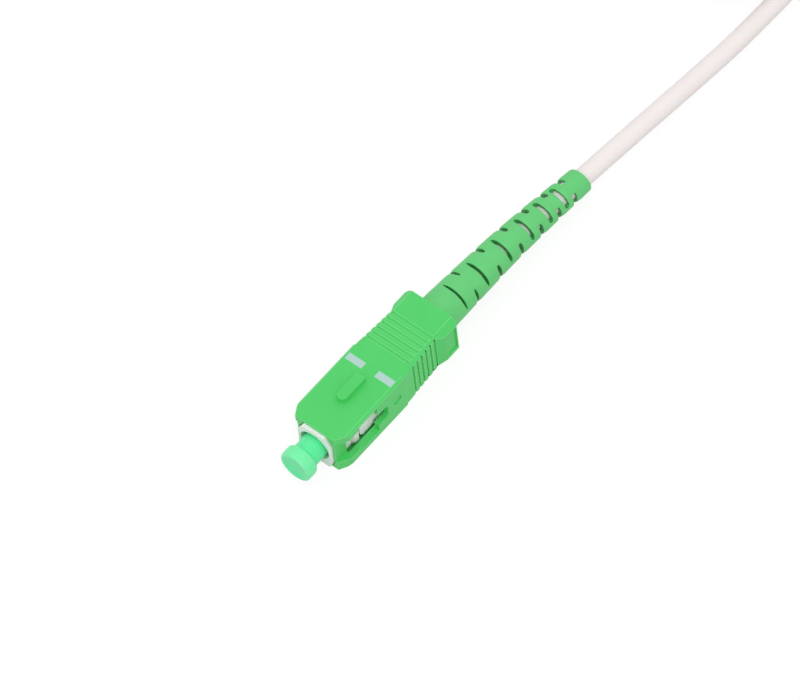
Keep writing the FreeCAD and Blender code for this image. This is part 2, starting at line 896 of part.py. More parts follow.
def make_crimp_sleeve():
    """Stepped sleeve, wide over the yarn and narrow on the jacket."""
    taper_end = "crimp_shoulder + crimp_taper"
    return turned(
        "crimp_sleeve",
        [
            ("crimp_front", "crimp_bore"),
            ("crimp_front", "crimp_outer"),
            ("crimp_shoulder + 0.2", "crimp_outer"),
            (f"{taper_end} + 0.2", "neck_outer"),
            ("crimp_end", "neck_outer"),
            ("crimp_end", "neck_bore"),
            (taper_end, "neck_bore"),
            ("crimp_shoulder", "crimp_bore"),
        ],
    )


# ---------------------------------------------------------------- boot


def boot_radius_at(place):
    """The boot's outer radius on its taper, at a place along the axis."""
    fall = "(boot_radius - boot_end_radius) / (boot_rear - boot_taper_start)"
    return f"(boot_radius - ({place} - boot_taper_start) * {fall})"


def make_boot():
    """Tapered strain relief with slots in turn on two pairs of sides."""
    body = turned(
        "boot",
        [
            ("crimp_front", "crimp_outer + seat_gap"),
            ("crimp_front", "boot_radius"),
            ("boot_taper_start", "boot_radius"),
            ("boot_rear - boot_end_round", "boot_end_radius"),
            ("boot_rear", "boot_end_radius - boot_end_round"),
            ("boot_rear", "cable_radius + boot_bore_gap"),
            ("crimp_end + seat_gap", "cable_radius + boot_bore_gap"),
            ("crimp_end + seat_gap", "neck_outer + seat_gap"),
            ("crimp_shoulder + crimp_taper + 0.3", "neck_outer + seat_gap"),
            ("crimp_shoulder + 0.3", "crimp_outer + seat_gap"),
        ],
    )
    growth = "(boot_slot_last_width - boot_slot_first_width) / 11"
    for plane, name, first in (("XZ_Plane", "top_slot", 0), ("XY_Plane", "side_slot", 1)):
        square = new_sketch(body, plane)
        rounded = new_sketch(body, plane)
        for number in range(6):
            place = f"(housing_rear + {name}_{number + 1})"
            half = f"((boot_slot_first_width + {growth} * {2 * number + first}) / 2)"
            depth = f"({boot_radius_at(place)} * cos(boot_slot_angle))"
            for side in ("", "-"):
                polygon(
                    square,
                    box_corners(
                        f"{place} - {half}",
                        f"{place} + {half}",
                        f"{side}({depth} + {half})",
                        f"{side}(boot_radius + 0.2)",
                    ),
                )
                circle(rounded, place, f"{side}({depth} + {half})", half)
        pocket(body, square, "2 * boot_radius + 1", symmetric=True)
        pocket(body, rounded, "2 * boot_radius + 1", symmetric=True)
    body.Placement.Rotation = FreeCAD.Rotation(FreeCAD.Vector(1, 0, 0), value("boot_roll"))
    body.setExpression("Placement.Rotation.Angle", bound("boot_roll"))
    return body


# ---------------------------------------------------------------- dust cap


def make_dust_cap():
    """Soft cap: a shallow dished head and a neck that grips the ferrule."""
    head = "(-cap_neck_length - cap_head_length)"
    back = "(-cap_neck_length)"
    edge = "(cap_head_radius - cap_head_draft)"
    grip = "(ferrule_radius + ferrule_gap)"
    return turned(
        "dust_cap",
        [
            (f"{head} + cap_dish", "0"),
            (head, f"{edge} - cap_head_round * 2"),
            (f"{head} + cap_head_round * 0.29", f"{edge} - cap_head_round * 0.29"),
            (f"{head} + cap_head_round", edge),
            (f"{back} - cap_head_round * 0.6", "cap_head_radius"),
            (back, "cap_head_radius - cap_head_round * 0.6"),
            (back, "cap_neck_radius"),
            ("cap_reach", "cap_neck_radius"),
            ("cap_reach", grip),
            ("ferrule_front - cap_bore_end", grip),
            ("ferrule_front - cap_bore_end", "0"),
        ],
    )


# ---------------------------------------------------------------- cable

# The cable leaves the boot, comes down to the surface and swings a little to one side.
CABLE_ROUTE = [
    (SIZES["cable_start"], 0.0, 0.0),
    (38.0, 0.0, 0.03),
    (57.5, 0.0, -0.03),
    (79.0, -1.2, -1.35),
    (99.5, -2.9, -2.27),
]


def tangent_arc_path(points):
    """Straight runs joined by arcs, each as large as its two runs allow."""
    corners = [FreeCAD.Vector(*point) for point in points]
    edges = []
    start = corners[0]
    for before, corner, after in zip(corners, corners[1:], corners[2:]):
        run_in, run_out = corner - before, after - corner
        turn = run_in.getAngle(run_out)
        reach = 0.45 * min(run_in.Length, run_out.Length)
        radius = reach / math.tan(turn / 2)
        print(f"cable turn {math.degrees(turn):.1f} degrees, radius {radius:.1f} mm")
        way_in, way_out = run_in.normalize(), run_out.normalize()
        arc_start, arc_end = corner - way_in * reach, corner + way_out * reach
        inward = (way_out - way_in).normalize()
        centre = corner + inward * (radius / math.cos(turn / 2))
        middle = centre - inward * radius
        edges.append(Part.LineSegment(start, arc_start).toShape())
        edges.append(Part.Arc(arc_start, middle, arc_end).toShape())
        start = arc_end
    edges.append(Part.LineSegment(start, corners[-1]).toShape())
    return Part.Wire(edges)


def make_cable():
    radius = value("cable_radius")
    path = tangent_arc_path(CABLE_ROUTE)
    start = FreeCAD.Vector(*CABLE_ROUTE[0])
    heading = FreeCAD.Vector(*CABLE_ROUTE[1]) - start
    section = Part.Wire(Part.makeCircle(radius, start, heading))
    cable = doc.addObject("Part::Feature", "cable")
    cable.Label = "cable"
    cable.Shape = path.makePipeShell([section], True, False)
    print(f"cable volume {cable.Shape.Volume:.1f} of {math.pi * radius**2 * path.Length:.1f}")
    return cable


def hank_floor():
    """The height of the surface that the connector lies on."""
    return "-housing_height / 2"


def stadium(sketch, left, right, middle, half):
    """A track outline of two straight runs and two half circles."""
    x_left, x_right = value(left), value(right)
    y_mid, reach = value(middle), value(half)
    low_left = FreeCAD.Vector(x_left, y_mid - reach, 0)
    low_right = FreeCAD.Vector(x_right, y_mid - reach, 0)
    high_left = FreeCAD.Vector(x_left, y_mid + reach, 0)
    high_right = FreeCAD.Vector(x_right, y_mid + reach, 0)
    low = sketch.addGeometry(Part.LineSegment(low_left, low_right))
    bend_right = sketch.addGeometry(
        Part.Arc(low_right, FreeCAD.Vector(x_right + reach, y_mid, 0), high_right)
    )
    high = sketch.addGeometry(Part.LineSegment(high_right, high_left))
    bend_left = sketch.addGeometry(
        Part.Arc(high_left, FreeCAD.Vector(x_left - reach, y_mid, 0), low_left)
    )
    for one, one_end, other, other_end in (
        (low, 2, bend_right, 1),
        (bend_right, 2, high, 1),
        (high, 2, bend_left, 1),
        (bend_left, 2, low, 1),
    ):
        sketch.addConstraint(Sketcher.Constraint("Tangent", one, one_end, other, other_end))
    fix_point(sketch, bend_left, 3, left, middle)
    fix_point(sketch, bend_right, 3, right, middle)
    number = sketch.addConstraint(Sketcher.Constraint("Radius", bend_left, reach))
    sketch.setExpression(f"Constraints[{number}]", bound(half))


HANK_HEIGHT = "(2 * cable_radius * hank_layers)"
HANK_MIDDLE = "(hank_start + hank_length / 2)"


def make_cable_hank():
    """Outer shape of the put-away cable: a flat track of turns, rounded above and below."""
    body = new_body("cable_hank")
    outer, inner = "(hank_across / 2)", "(hank_across / 2 - 2 * cable_radius * hank_strands)"
    left = "(hank_start + hank_across / 2)"
    right = "(hank_start + hank_length - hank_across / 2)"
    sketch = new_sketch(body, "XY_Plane", f"{hank_floor()} + tie_thickness")
    stadium(sketch, left, right, "hank_offset", outer)
    stadium(sketch, left, right, "hank_offset", inner)
    pad(body, sketch, HANK_HEIGHT)
    return body


def make_hank_tie():
    """A soft strap round the hank's middle, which it lies on."""
    body = new_body("hank_tie")
    low = hank_floor()
    inner_low = f"({low} + tie_thickness)"
    inner_high = f"({inner_low} + {HANK_HEIGHT} + seat_gap)"
    half = "(hank_across / 2 + seat_gap)"
    sketch = new_sketch(body, "YZ_Plane", f"{HANK_MIDDLE} - tie_width / 2")
    polygon(
        sketch,
        box_corners(
            f"hank_offset - {half} - tie_thickness",
            f"hank_offset + {half} + tie_thickness",
            low,
            f"{inner_high} + tie_thickness",
        ),
    )
    polygon(
        sketch,
        box_corners(
            f"hank_offset - {half}",
            f"hank_offset + {half}",
            inner_low,
            inner_high,
        ),
    )
    pad(body, sketch, "tie_width")
    return body


# ---------------------------------------------------------------- build and write

pieces = [
    make_outer_housing(),
    make_plug_frame(),
    make_ferrule(),
    make_fibre(),
    make_ferrule_flange(),
    make_fibre_buffer(),
    make_spring(),
    make_stop_ring(),
    make_aramid_yarn(),
    make_crimp_sleeve(),
    make_boot(),
    make_dust_cap(),
    make_cable(),
    make_cable_hank(),
    make_hank_tie(),
]
doc.recompute()

for item in doc.Objects:
    if "Invalid" in item.State or "Error" in item.State:
        raise RuntimeError(f"{item.Label} failed to build: {item.State}")
for piece in pieces:
    if piece.Shape.isNull() or not piece.Shape.isValid():
        raise RuntimeError(f"{piece.Label} has no sound shape")

os.makedirs("parts", exist_ok=True)
for piece in pieces:
    print(f"{piece.Label}: {len(piece.Shape.Solids)} solid, {piece.Shape.Volume:.2f} mm3")
    piece.Shape.exportStep(f"parts/{piece.Label}.step")
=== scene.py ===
import json
import math

import bmesh
import bpy
from mathutils import Matrix, Vector

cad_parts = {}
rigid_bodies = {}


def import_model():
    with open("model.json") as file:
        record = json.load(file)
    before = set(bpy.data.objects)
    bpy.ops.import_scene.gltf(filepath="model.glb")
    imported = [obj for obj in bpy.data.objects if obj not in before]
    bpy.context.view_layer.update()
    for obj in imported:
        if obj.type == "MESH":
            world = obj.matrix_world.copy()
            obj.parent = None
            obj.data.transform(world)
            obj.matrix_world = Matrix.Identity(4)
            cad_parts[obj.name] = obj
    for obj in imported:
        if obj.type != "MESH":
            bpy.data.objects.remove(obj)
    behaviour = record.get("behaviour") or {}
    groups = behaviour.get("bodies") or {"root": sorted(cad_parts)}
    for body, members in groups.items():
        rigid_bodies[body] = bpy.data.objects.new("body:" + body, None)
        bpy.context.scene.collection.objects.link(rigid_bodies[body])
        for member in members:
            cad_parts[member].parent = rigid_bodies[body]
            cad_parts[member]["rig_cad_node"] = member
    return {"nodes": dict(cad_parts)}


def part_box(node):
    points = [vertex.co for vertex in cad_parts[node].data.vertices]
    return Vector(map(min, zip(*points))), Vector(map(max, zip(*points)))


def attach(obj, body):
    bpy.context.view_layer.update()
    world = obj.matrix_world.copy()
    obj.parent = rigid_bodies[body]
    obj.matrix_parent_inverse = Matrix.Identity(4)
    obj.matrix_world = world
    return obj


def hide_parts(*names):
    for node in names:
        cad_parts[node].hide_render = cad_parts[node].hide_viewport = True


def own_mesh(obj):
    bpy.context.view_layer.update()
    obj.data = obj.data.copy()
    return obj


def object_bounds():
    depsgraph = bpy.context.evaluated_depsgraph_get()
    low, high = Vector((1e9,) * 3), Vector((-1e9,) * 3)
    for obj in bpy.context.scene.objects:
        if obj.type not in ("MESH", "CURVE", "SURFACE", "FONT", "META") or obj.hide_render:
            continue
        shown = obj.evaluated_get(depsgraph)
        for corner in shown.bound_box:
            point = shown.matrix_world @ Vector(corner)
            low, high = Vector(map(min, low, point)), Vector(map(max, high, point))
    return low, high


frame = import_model()
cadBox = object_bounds()
mm = 0.001
weldReach = 1e-7  # vertices that lie this close, in metres, become one


def selectOnly(piece):
    bpy.ops.object.select_all(action="DESELECT")
    piece.select_set(True)
    bpy.context.view_layer.objects.active = piece


def weldedCopy(nodeName, pieceName, flatWithin=0.6):
    # the solid's own shape, with its triangles made whole faces again
    piece = bpy.data.objects.new(pieceName, frame["nodes"][nodeName].data.copy())
    bpy.context.scene.collection.objects.link(piece)
    selectOnly(piece)
    bpy.ops.object.mode_set(mode="EDIT")
    bpy.ops.mesh.select_all(action="SELECT")
    bpy.ops.mesh.remove_doubles(threshold=weldReach)
    bpy.ops.mesh.dissolve_limited(angle_limit=math.radians(flatWithin))
    bpy.ops.object.mode_set(mode="OBJECT")
    return piece


def turnRings(name, rings, sides):  # an open turned skin, ring after ring along the axis, in mm
    bpy.ops.object.select_all(action="DESELECT")
    bpy.ops.mesh.primitive_circle_add(
        vertices=sides,
        radius=rings[0][1] * mm,
        location=(rings[0][0] * mm, 0, 0),
        rotation=(0, math.pi / 2, 0),
    )
    piece = bpy.context.object
    piece.name = name
    bpy.ops.object.transform_apply(location=True, rotation=True, scale=True)
    bpy.ops.object.mode_set(mode="EDIT")
    bpy.ops.mesh.select_mode(type="VERT")
    bpy.ops.mesh.select_all(action="SELECT")
    for before, after in zip(rings, rings[1:]):
        step = ((after[0] - before[0]) * mm, 0, 0)
        bpy.ops.mesh.extrude_edges_move(TRANSFORM_OT_translate={"value": step})
        growth = after[1] / before[1]
        bpy.ops.transform.resize(
            value=(1, growth, growth), center_override=(after[0] * mm, 0, 0)
        )
    bpy.ops.object.mode_set(mode="OBJECT")
    return piece


def softenRims(piece, width, segments, sharpest=30, shareAt=None):
    # only edges that stand out are rounded, and their new strips are noted for the material's
    # painted highlight
    shape = bmesh.new()
    shape.from_mesh(piece.data)
    weights = shape.edges.layers.float.new("bevel_weight_edge")
    for edge in shape.edges:
        if edge.is_manifold and edge.calc_face_angle_signed() > math.radians(sharpest):
            middle = (edge.verts[0].co + edge.verts[1].co) / 2
            edge[weights] = shareAt(middle) if shareAt else 1.0
    shape.to_mesh(piece.data)
    shape.free()
    piece.data.materials.clear()
    piece.data.materials.append(None)
    piece.data.materials.append(None)
    selectOnly(piece)
    rims = piece.modifiers.new("softRims", "BEVEL")
    rims.limit_method = "WEIGHT"
    rims.width = width
    rims.segments = segments
    rims.use_clamp_overlap = False
    rims.material = 1
    bpy.ops.object.modifier_apply(modifier=rims.name)
    rimHighlightShare = piece.data.attributes.new("rimHighlightShare", "FLOAT", "FACE")
    for face, share in zip(piece.data.polygons, rimHighlightShare.data):
        share.value = face.material_index
        face.material_index = 0


def smoothFaces(piece, angle=32, flatWeight=80):  # curved skin smooth, large flats kept flat
    selectOnly(piece)
    bpy.ops.object.shade_smooth_by_angle(angle=math.radians(angle))
    flats = piece.modifiers.new("flatsStayFlat", "WEIGHTED_NORMAL")
    flats.keep_sharp = True
    flats.weight = flatWeight
    bpy.ops.object.modifier_apply(modifier=flats.name)


def linearColour(hexCode):
    def channel(part):
        share = int(part, 16) / 255
        return share / 12.92 if share <= 0.04045 else ((share + 0.055) / 1.055) ** 2.4

    return (channel(hexCode[1:3]), channel(hexCode[3:5]), channel(hexCode[5:7]), 1)


def addNode(tree, kind, settings=None, inputs=None):
    node = tree.nodes.new(kind)
    for name, setting in (settings or {}).items():
        setattr(node, name, setting)
    for name, source in (inputs or {}).items():
        if isinstance(source, bpy.types.NodeSocket):
            tree.links.new(source, node.inputs[name])
        else:
            node.inputs[name].default_value = source
    return node


def newMaterial(name, shaderValues):
    material = bpy.data.materials.new(name)
    material.use_nodes = True
    tree = material.node_tree
    shader = tree.nodes["Principled BSDF"]
    for socket, setting in shaderValues.items():
        shader.inputs[socket].default_value = setting
    return material, tree, shader


def finish(piece, material, body):
    piece.data.materials.clear()
    piece.data.materials.append(material)
    if "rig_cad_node" not in piece:
        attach(piece, body)


camera = {
    "lookAt": Vector((15.865, -2.363, 5.924)) * mm,
    "right": Vector((0.63409, -0.76948, -0.07639)),
    "up": Vector((0.67467, 0.50226, 0.54088)),
    "away": 0.8232,
    "widthSeen": 108.0 * mm,
    "sensor": 36.0,
    "clip": (0.01, 20),
}

back = camera["right"].cross(camera["up"]).normalized()
up = back.cross(camera["right"]).normalized()
right = up.cross(back)
cameraData = bpy.data.cameras.new("studioCamera")
cameraData.sensor_width = camera["sensor"]
cameraData.lens = camera["sensor"] * camera["away"] / camera["widthSeen"]
cameraData.clip_start, cameraData.clip_end = camera["clip"]
cameraObject = bpy.data.objects.new("studioCamera", cameraData)
bpy.context.scene.collection.objects.link(cameraObject)
cameraObject.matrix_world = Matrix.Translation(camera["lookAt"] + back * camera["away"]) @ (
    Matrix((right, up, back)).transposed().to_4x4()
)
bpy.context.scene.camera = cameraObject
print("camera set")


# the cable is one line from the crimp, down to the surface, along it and into the tied hank
cable = {
    "radius": 1.43,
    "route": [
        (26.2, 0.0, 0.0),
        (30.0, -0.05, -0.04),
        (34.0, -0.16, -0.11),
        (40.0, -0.32, -0.22),
        (46.5, -0.72, -0.47),
        (55.0, -1.37, -0.91),
        (65.0, -2.06, -1.41),
        (78.0, -3.08, -2.03),
        (90.0, -4.10, -2.25),
    ],
    "turnCentres": (107.0, 139.0),
    "middle": 7.0,
    "firstLayer": -1.87,
    "pitch": 2.86,
    "meanRadius": 10.14,
    "turns": 7,
    "lean": 1.2,
    "bendPoints": 6,
    "lastStraight": (2.0, -3.0),  # its ends, past the middle of the left and the right bend
    "order": 3,
    "lineSteps": 6,
    "roundSteps": 6,
}

# columns (1 outer, -1 inner) and layers that the strand takes, turn after turn
hankPlaces = [(1, 0), (-1, 0), (-1, 1), (1, 1), (1, 2), (-1, 2), (-1, 3), (1, 3)]


def hankPoint(centre, angle, radius, height):  # set out so that the line itself has the radius
    grown = radius / math.cos(math.pi / 2 / cable["bendPoints"])
    return (
        centre + grown * math.sin(angle),
        cable["middle"] - grown * math.cos(angle),
        height,
    )


def hankRoute():
    left, right = cable["turnCentres"]
    points = []
    step = math.pi / cable["bendPoints"]
    for turn in range(cable["turns"]):
        (column, layer), (nextColumn, nextLayer) = hankPlaces[turn], hankPlaces[turn + 1]
        radius = cable["meanRadius"] + column * cable["pitch"] / 2
        height = cable["firstLayer"] + layer * cable["pitch"]
        points.append(((left + right) / 2, cable["middle"] - radius, height))
        for number in range(cable["bendPoints"]):
            points.append(hankPoint(right, (number + 0.5) * step, radius, height))
        points.append(((left + right) / 2, cable["middle"] + radius, height))
        for number in range(cable["bendPoints"]):
            along = (number + 0.5) / cable["bendPoints"]
            ease = (1 - math.cos(math.pi * along)) / 2
            shifted = radius + (nextColumn - column) * ease * cable["pitch"] / 2
            if nextLayer != layer:  # a strand that climbs leans out past its neighbour
                shifted += column * cable["lean"] * math.sin(math.pi * along)
            climbed = height + (nextLayer - layer) * ease * cable["pitch"]
            points.append(hankPoint(left, math.pi + (number + 0.5) * step, shifted, climbed))
    column, layer = hankPlaces[cable["turns"]]
    radius = cable["meanRadius"] + column * cable["pitch"] / 2
    height = cable["firstLayer"] + layer * cable["pitch"]
    start, end = cable["lastStraight"]
    points.append((left + start, cable["middle"] - radius, height))
    points.append((right + end, cable["middle"] - radius, height))
    return points


cableLine = bpy.data.curves.new("pigtailCable", "CURVE")
cableLine.dimensions = "3D"
cableSpline = cableLine.splines.new("NURBS")
cablePoints = cable["route"] + hankRoute()
cableSpline.points.add(len(cablePoints) - 1)
for point, place in zip(cableSpline.points, cablePoints):
    point.co = (*(Vector(place) * mm), 1)
    point.radius = cable["radius"] * mm
cableSpline.order_u = cable["order"]
cableSpline.use_endpoint_u = True
cableSpline.resolution_u = cable["lineSteps"]
cableLine.bevel_depth = 1.0  # the radius is each point's own
cableLine.bevel_resolution = cable["roundSteps"]
cableLine.use_fill_caps = True
pigtail = bpy.data.objects.new("pigtailCable", cableLine)
bpy.context.scene.collection.objects.link(pigtail)
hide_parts("cable", "cable_hank")
print("cable laid")


# what a Mix node calls its two colours and its mixed one, and the detail of the soft noises
mixA, mixB, mixOut = 6, 7, 2
softDetail = 2.0


def driftingTones(tree, place, look):  # two tones that drift into each other
    drift = addNode(
        tree,
        "ShaderNodeTexNoise",
        None,
        {"Vector": place, "Scale": 1 / (look["drift"] * mm), "Detail": softDetail},
    )
    darker, lighter = (linearColour(tone) for tone in look["tones"])
    body = addNode(
        tree,
        "ShaderNodeMix",
        {"data_type": "RGBA"},
        {"Factor": drift.outputs[0], mixA: darker, mixB: lighter},
    )
    return body.outputs[mixOut]


def addGrain(tree, place, shader, look):  # the fine unevenness that the tool or the die leaves
    grain = addNode(
        tree,
        "ShaderNodeTexNoise",
        None,
        {"Vector": place, "Scale": 1 / (look["grain"] * mm), "Detail": softDetail},
    )
    bump = addNode(
        tree,
        "ShaderNodeBump",
        None,
        {"Height": grain.outputs[0], "Distance": look["grainHeight"] * mm},
    )
    tree.links.new(bump.outputs["Normal"], shader.inputs["Normal"])


# grip: injection-moulded PBT from a spark-eroded tool, which gives an even satin skin,
# with a painted highlight on its rims and two pale pad-printed marks beside the key
gripLook = {
    "tones": ("#4fd168", "#54d76e"),
    # the rim colour and its amount are a painted highlight on the rounded edges
    "rim": "#92f0a4",
    "rimHighlightAmount": 0.42,
    "roughness": 0.42,
    "gloss": 0.3,
    "ior": 1.55,
    "drift": 3.0,  # mm, the soft flow variation
    "grain": 0.16,  # mm, the tool's grain is 0.05 mm and too fine to show
    "grainHeight": 0.004,
    "ink": "#b6d8d1",
    "marks": (  # lowest and highest place along the axis and across, mm
        ((11.39, 12.50), (1.02, 3.92)),
        ((11.47, 12.60), (-4.06, -1.20)),
    ),
    "markSoftness": 0.03,
    "markedAbove": 3.66,
}


def makeGripPlastic():
    material, tree, shader = newMaterial(
        "greenMouldedPbt",
        {
            "IOR": gripLook["ior"],
            "Roughness": gripLook["roughness"],
            "Specular IOR Level": gripLook["gloss"],
        },
    )
    place = addNode(tree, "ShaderNodeTexCoord").outputs["Object"]
    body = driftingTones(tree, place, gripLook)
    # painted highlight: the rounded rims' strips are mixed toward the lighter rim green
    rims = addNode(tree, "ShaderNodeAttribute", {"attribute_name": "rimHighlightShare"})
    rimHighlightAmount = addNode(
        tree,
        "ShaderNodeMath",
        {"operation": "MULTIPLY"},
        {0: rims.outputs["Fac"], 1: gripLook["rimHighlightAmount"]},
    )
    skin = addNode(
        tree,
        "ShaderNodeMix",
        {"data_type": "RGBA"},
        {"Factor": rimHighlightAmount.outputs[0], mixA: body, mixB: linearColour(gripLook["rim"])},
    )

    # each mark is where both distances from its middle are short, on the top face only
    axes = addNode(tree, "ShaderNodeSeparateXYZ", None, {0: place})
    onTop = addNode(
        tree,
        "ShaderNodeMath",
        {"operation": "GREATER_THAN"},
        {0: axes.outputs["Z"], 1: gripLook["markedAbove"] * mm},
    )
    soft = gripLook["markSoftness"]
    for along, across in gripLook["marks"]:
        printed = onTop.outputs[0]
        for axis, (low, high) in (("X", along), ("Y", across)):
            fromMiddle = addNode(
                tree,
                "ShaderNodeMath",
                {"operation": "SUBTRACT"},
                {0: axes.outputs[axis], 1: (low + high) / 2 * mm},
            )
            distance = addNode(
                tree, "ShaderNodeMath", {"operation": "ABSOLUTE"}, {0: fromMiddle.outputs[0]}
            )
            inside = addNode(
                tree,
                "ShaderNodeMapRange",
                {"interpolation_type": "SMOOTHSTEP"},
                {
                    "Value": distance.outputs[0],
                    "From Min": ((high - low) / 2 + soft) * mm,
                    "From Max": ((high - low) / 2 - soft) * mm,
                },
            )
            both = addNode(
                tree,
                "ShaderNodeMath",
                {"operation": "MULTIPLY"},
                {0: printed, 1: inside.outputs[0]},
            )
            printed = both.outputs[0]
        skin = addNode(
            tree,
            "ShaderNodeMix",
            {"data_type": "RGBA"},
            {"Factor": printed, mixA: skin.outputs[mixOut], mixB: linearColour(gripLook["ink"])},
        )
    tree.links.new(skin.outputs[mixOut], shader.inputs["Base Color"])

    addGrain(tree, place, shader, gripLook)
    return material


# plain mouldings and metals share one recipe: two tones that drift into each other, a painted
# highlight on the rims and a fine grain. Lengths are in mm
finishes = {
    # white PBT of the inner frame, moulded, with a little light carried inside its thin walls
    "whiteMouldedPbt": {
        "tones": ("#eff4ee", "#f7faf5"),
        "rim": "#fbfdfb",
        "ior": 1.55,
        "roughness": 0.35,
        "drift": 2.5,
        "grain": 0.15,
        "grainHeight": 0.003,
        "scatter": 0.25,
        "scatterReach": 0.9,
    },
    # extruded PVC jacket, white with a warm cast and a faint waviness
    "whiteExtrudedJacket": {
        "tones": ("#f6edeb", "#faf3f1"),
        "rim": "#faf3f1",
        "ior": 1.53,
        "roughness": 0.45,
        "drift": 4.0,
        "grain": 0.25,
        "grainHeight": 0.004,
        "scatter": 0.15,
        "scatterReach": 0.8,
    },
    # sintered and polished zirconia, glossy and milk white
    "polishedZirconia": {
        "tones": ("#f1efe8", "#f6f4ee"),
        "rim": "#ffffff",
        "ior": 2.15,
        "roughness": 0.08,
        "drift": 1.0,
        "grain": 0.2,
        "grainHeight": 0.0005,
    },
    # drawn silica, cleaved and polished with the ferrule
    "drawnSilica": {
        "tones": ("#dfe6ea", "#e8eef2"),
        "rim": "#ffffff",
        "ior": 1.457,
        "roughness": 0.05,
        "drift": 0.1,
        "grain": 0.05,
        "grainHeight": 0.0002,
    },
    # nickel on turned brass, a warm grey with the faint rings that the lathe leaves
    "nickelPlatedBrass": {
        "tones": ("#c9c4b6", "#d6d1c4"),
        "rim": "#e6e2d8",
        "ior": 1.5,
        "roughness": 0.24,
        "metallic": 1.0,
        "drift": 0.8,
        "grain": 0.12,
        "grainHeight": 0.002,
    },
    # hard-drawn stainless wire, evenly bright
    "drawnStainless": {
        "tones": ("#b9babb", "#c8c9ca"),
        "rim": "#dcdddd",
        "ior": 1.5,
        "roughness": 0.28,
        "metallic": 1.0,
        "drift": 0.4,
        "grain": 0.08,
        "grainHeight": 0.002,
    },
    # annealed copper sleeve, nickel washed, dull from tumbling
    "tumbledCrimpMetal": {
        "tones": ("#b5b1a9", "#c3bfb7"),
        "rim": "#d6d2ca",
        "ior": 1.5,
        "roughness": 0.42,
        "metallic": 1.0,
        "drift": 0.9,
        "grain": 0.15,
        "grainHeight": 0.004,
    },
    # nylon tight buffer on the fibre, extruded, creamy
    "extrudedNylonBuffer": {
        "tones": ("#efeadc", "#f5f1e6"),
        "rim": "#f5f1e6",
        "ior": 1.53,
        "roughness": 0.35,
        "drift": 1.0,
        "grain": 0.1,
        "grainHeight": 0.001,
    },
}
plainFinish = {"metallic": 0.0, "scatter": 0.0, "scatterReach": 0.5}  # what an entry leaves out


def makeFinish(name):
    look = {**plainFinish, **finishes[name]}
    material, tree, shader = newMaterial(
        name,
        {
            "IOR": look["ior"],
            "Roughness": look["roughness"],
            "Metallic": look["metallic"],
            "Subsurface Weight": look["scatter"],
            "Subsurface Scale": look["scatterReach"] * mm,
        },
    )
    place = addNode(tree, "ShaderNodeTexCoord").outputs["Object"]
    body = driftingTones(tree, place, look)
    # painted highlight: rim strips take the lighter rim colour
    rims = addNode(tree, "ShaderNodeAttribute", {"attribute_name": "rimHighlightShare"})
    skin = addNode(
        tree,
        "ShaderNodeMix",
        {"data_type": "RGBA"},
        {"Factor": rims.outputs["Fac"], mixA: body, mixB: linearColour(look["rim"])},
    )
    tree.links.new(skin.outputs[mixOut], shader.inputs["Base Color"])
    addGrain(tree, place, shader, look)
    return material


# dust cap: moulded low-density polyethylene, dyed through, so light comes back out of it. Its
# thick head takes a painted glow, lighter than the thin neck, and there is a soft mottling from
# the cooling
capLook = {
    # the thick head's lighter colour is a painted glow; the thin neck keeps the plain mint
    "thick": "#7efcb4",
    "thin": "#5efaa9",
    "mottled": "#58f3a3",
    "mottleAmount": 0.25,
    "mottle": 0.9,
    "ior": 1.51,
    "roughness": 0.38,
    "scatter": 0.6,
    "scatterReach": 1.6,
    "grain": 0.3,
    "grainHeight": 0.004,
}


def makeCapPlastic():
    material, tree, shader = newMaterial(
        "mintMouldedPolyethylene",
        {
            "IOR": capLook["ior"],
            "Roughness": capLook["roughness"],
            "Subsurface Weight": capLook["scatter"],
            "Subsurface Scale": capLook["scatterReach"] * mm,
        },
    )
    place = addNode(tree, "ShaderNodeTexCoord").outputs["Object"]
    # painted glow: the head's rings mix toward the lighter mint
    throughGlow = addNode(tree, "ShaderNodeAttribute", {"attribute_name": "throughGlowShare"})
    body = addNode(
        tree,
        "ShaderNodeMix",
        {"data_type": "RGBA"},
        {
            "Factor": throughGlow.outputs["Fac"],
            mixA: linearColour(capLook["thin"]),
            mixB: linearColour(capLook["thick"]),
        },
    )
    mottle = addNode(
        tree,
        "ShaderNodeTexNoise",
        None,
        {"Vector": place, "Scale": 1 / (capLook["mottle"] * mm), "Detail": softDetail},
    )
    mottled = addNode(
        tree,
        "ShaderNodeMath",
        {"operation": "MULTIPLY"},
        {0: mottle.outputs[0], 1: capLook["mottleAmount"]},
    )
    skin = addNode(
        tree,
        "ShaderNodeMix",
        {"data_type": "RGBA"},
        {
            "Factor": mottled.outputs[0],
            mixA: body.outputs[mixOut],
            mixB: linearColour(capLook["mottled"]),
        },
    )
    tree.links.new(skin.outputs[mixOut], shader.inputs["Base Color"])
    addGrain(tree, place, shader, capLook)
    return material


# boot: moulded thermoplastic elastomer, matt with a soft sheen and hazy where it is handled.
# The slots' walls and the bore are coloured a deeper green than the moulded skin, as painted shade
bootLook = {
    "tones": ("#5fcc74", "#69d67d"),
    "haze": "#86da93",
    "hazeFrom": 0.62,
    "hazeTo": 0.80,
    "hazeAmount": 0.5,
    "hazeSize": 2.6,
    "hazeDetail": 4.0,
    # painted shade for the slots' walls and the bore
    "sawnAndShaded": "#3aa651",
    # the rim colour and its amount are a painted highlight on the slots' lips and the rims
    "rim": "#84e295",
    "rimHighlightAmount": 0.6,
    "ior": 1.5,
    "roughness": 0.5,
    "drift": 2.2,
    "grain": 0.22,
    "grainHeight": 0.008,
}


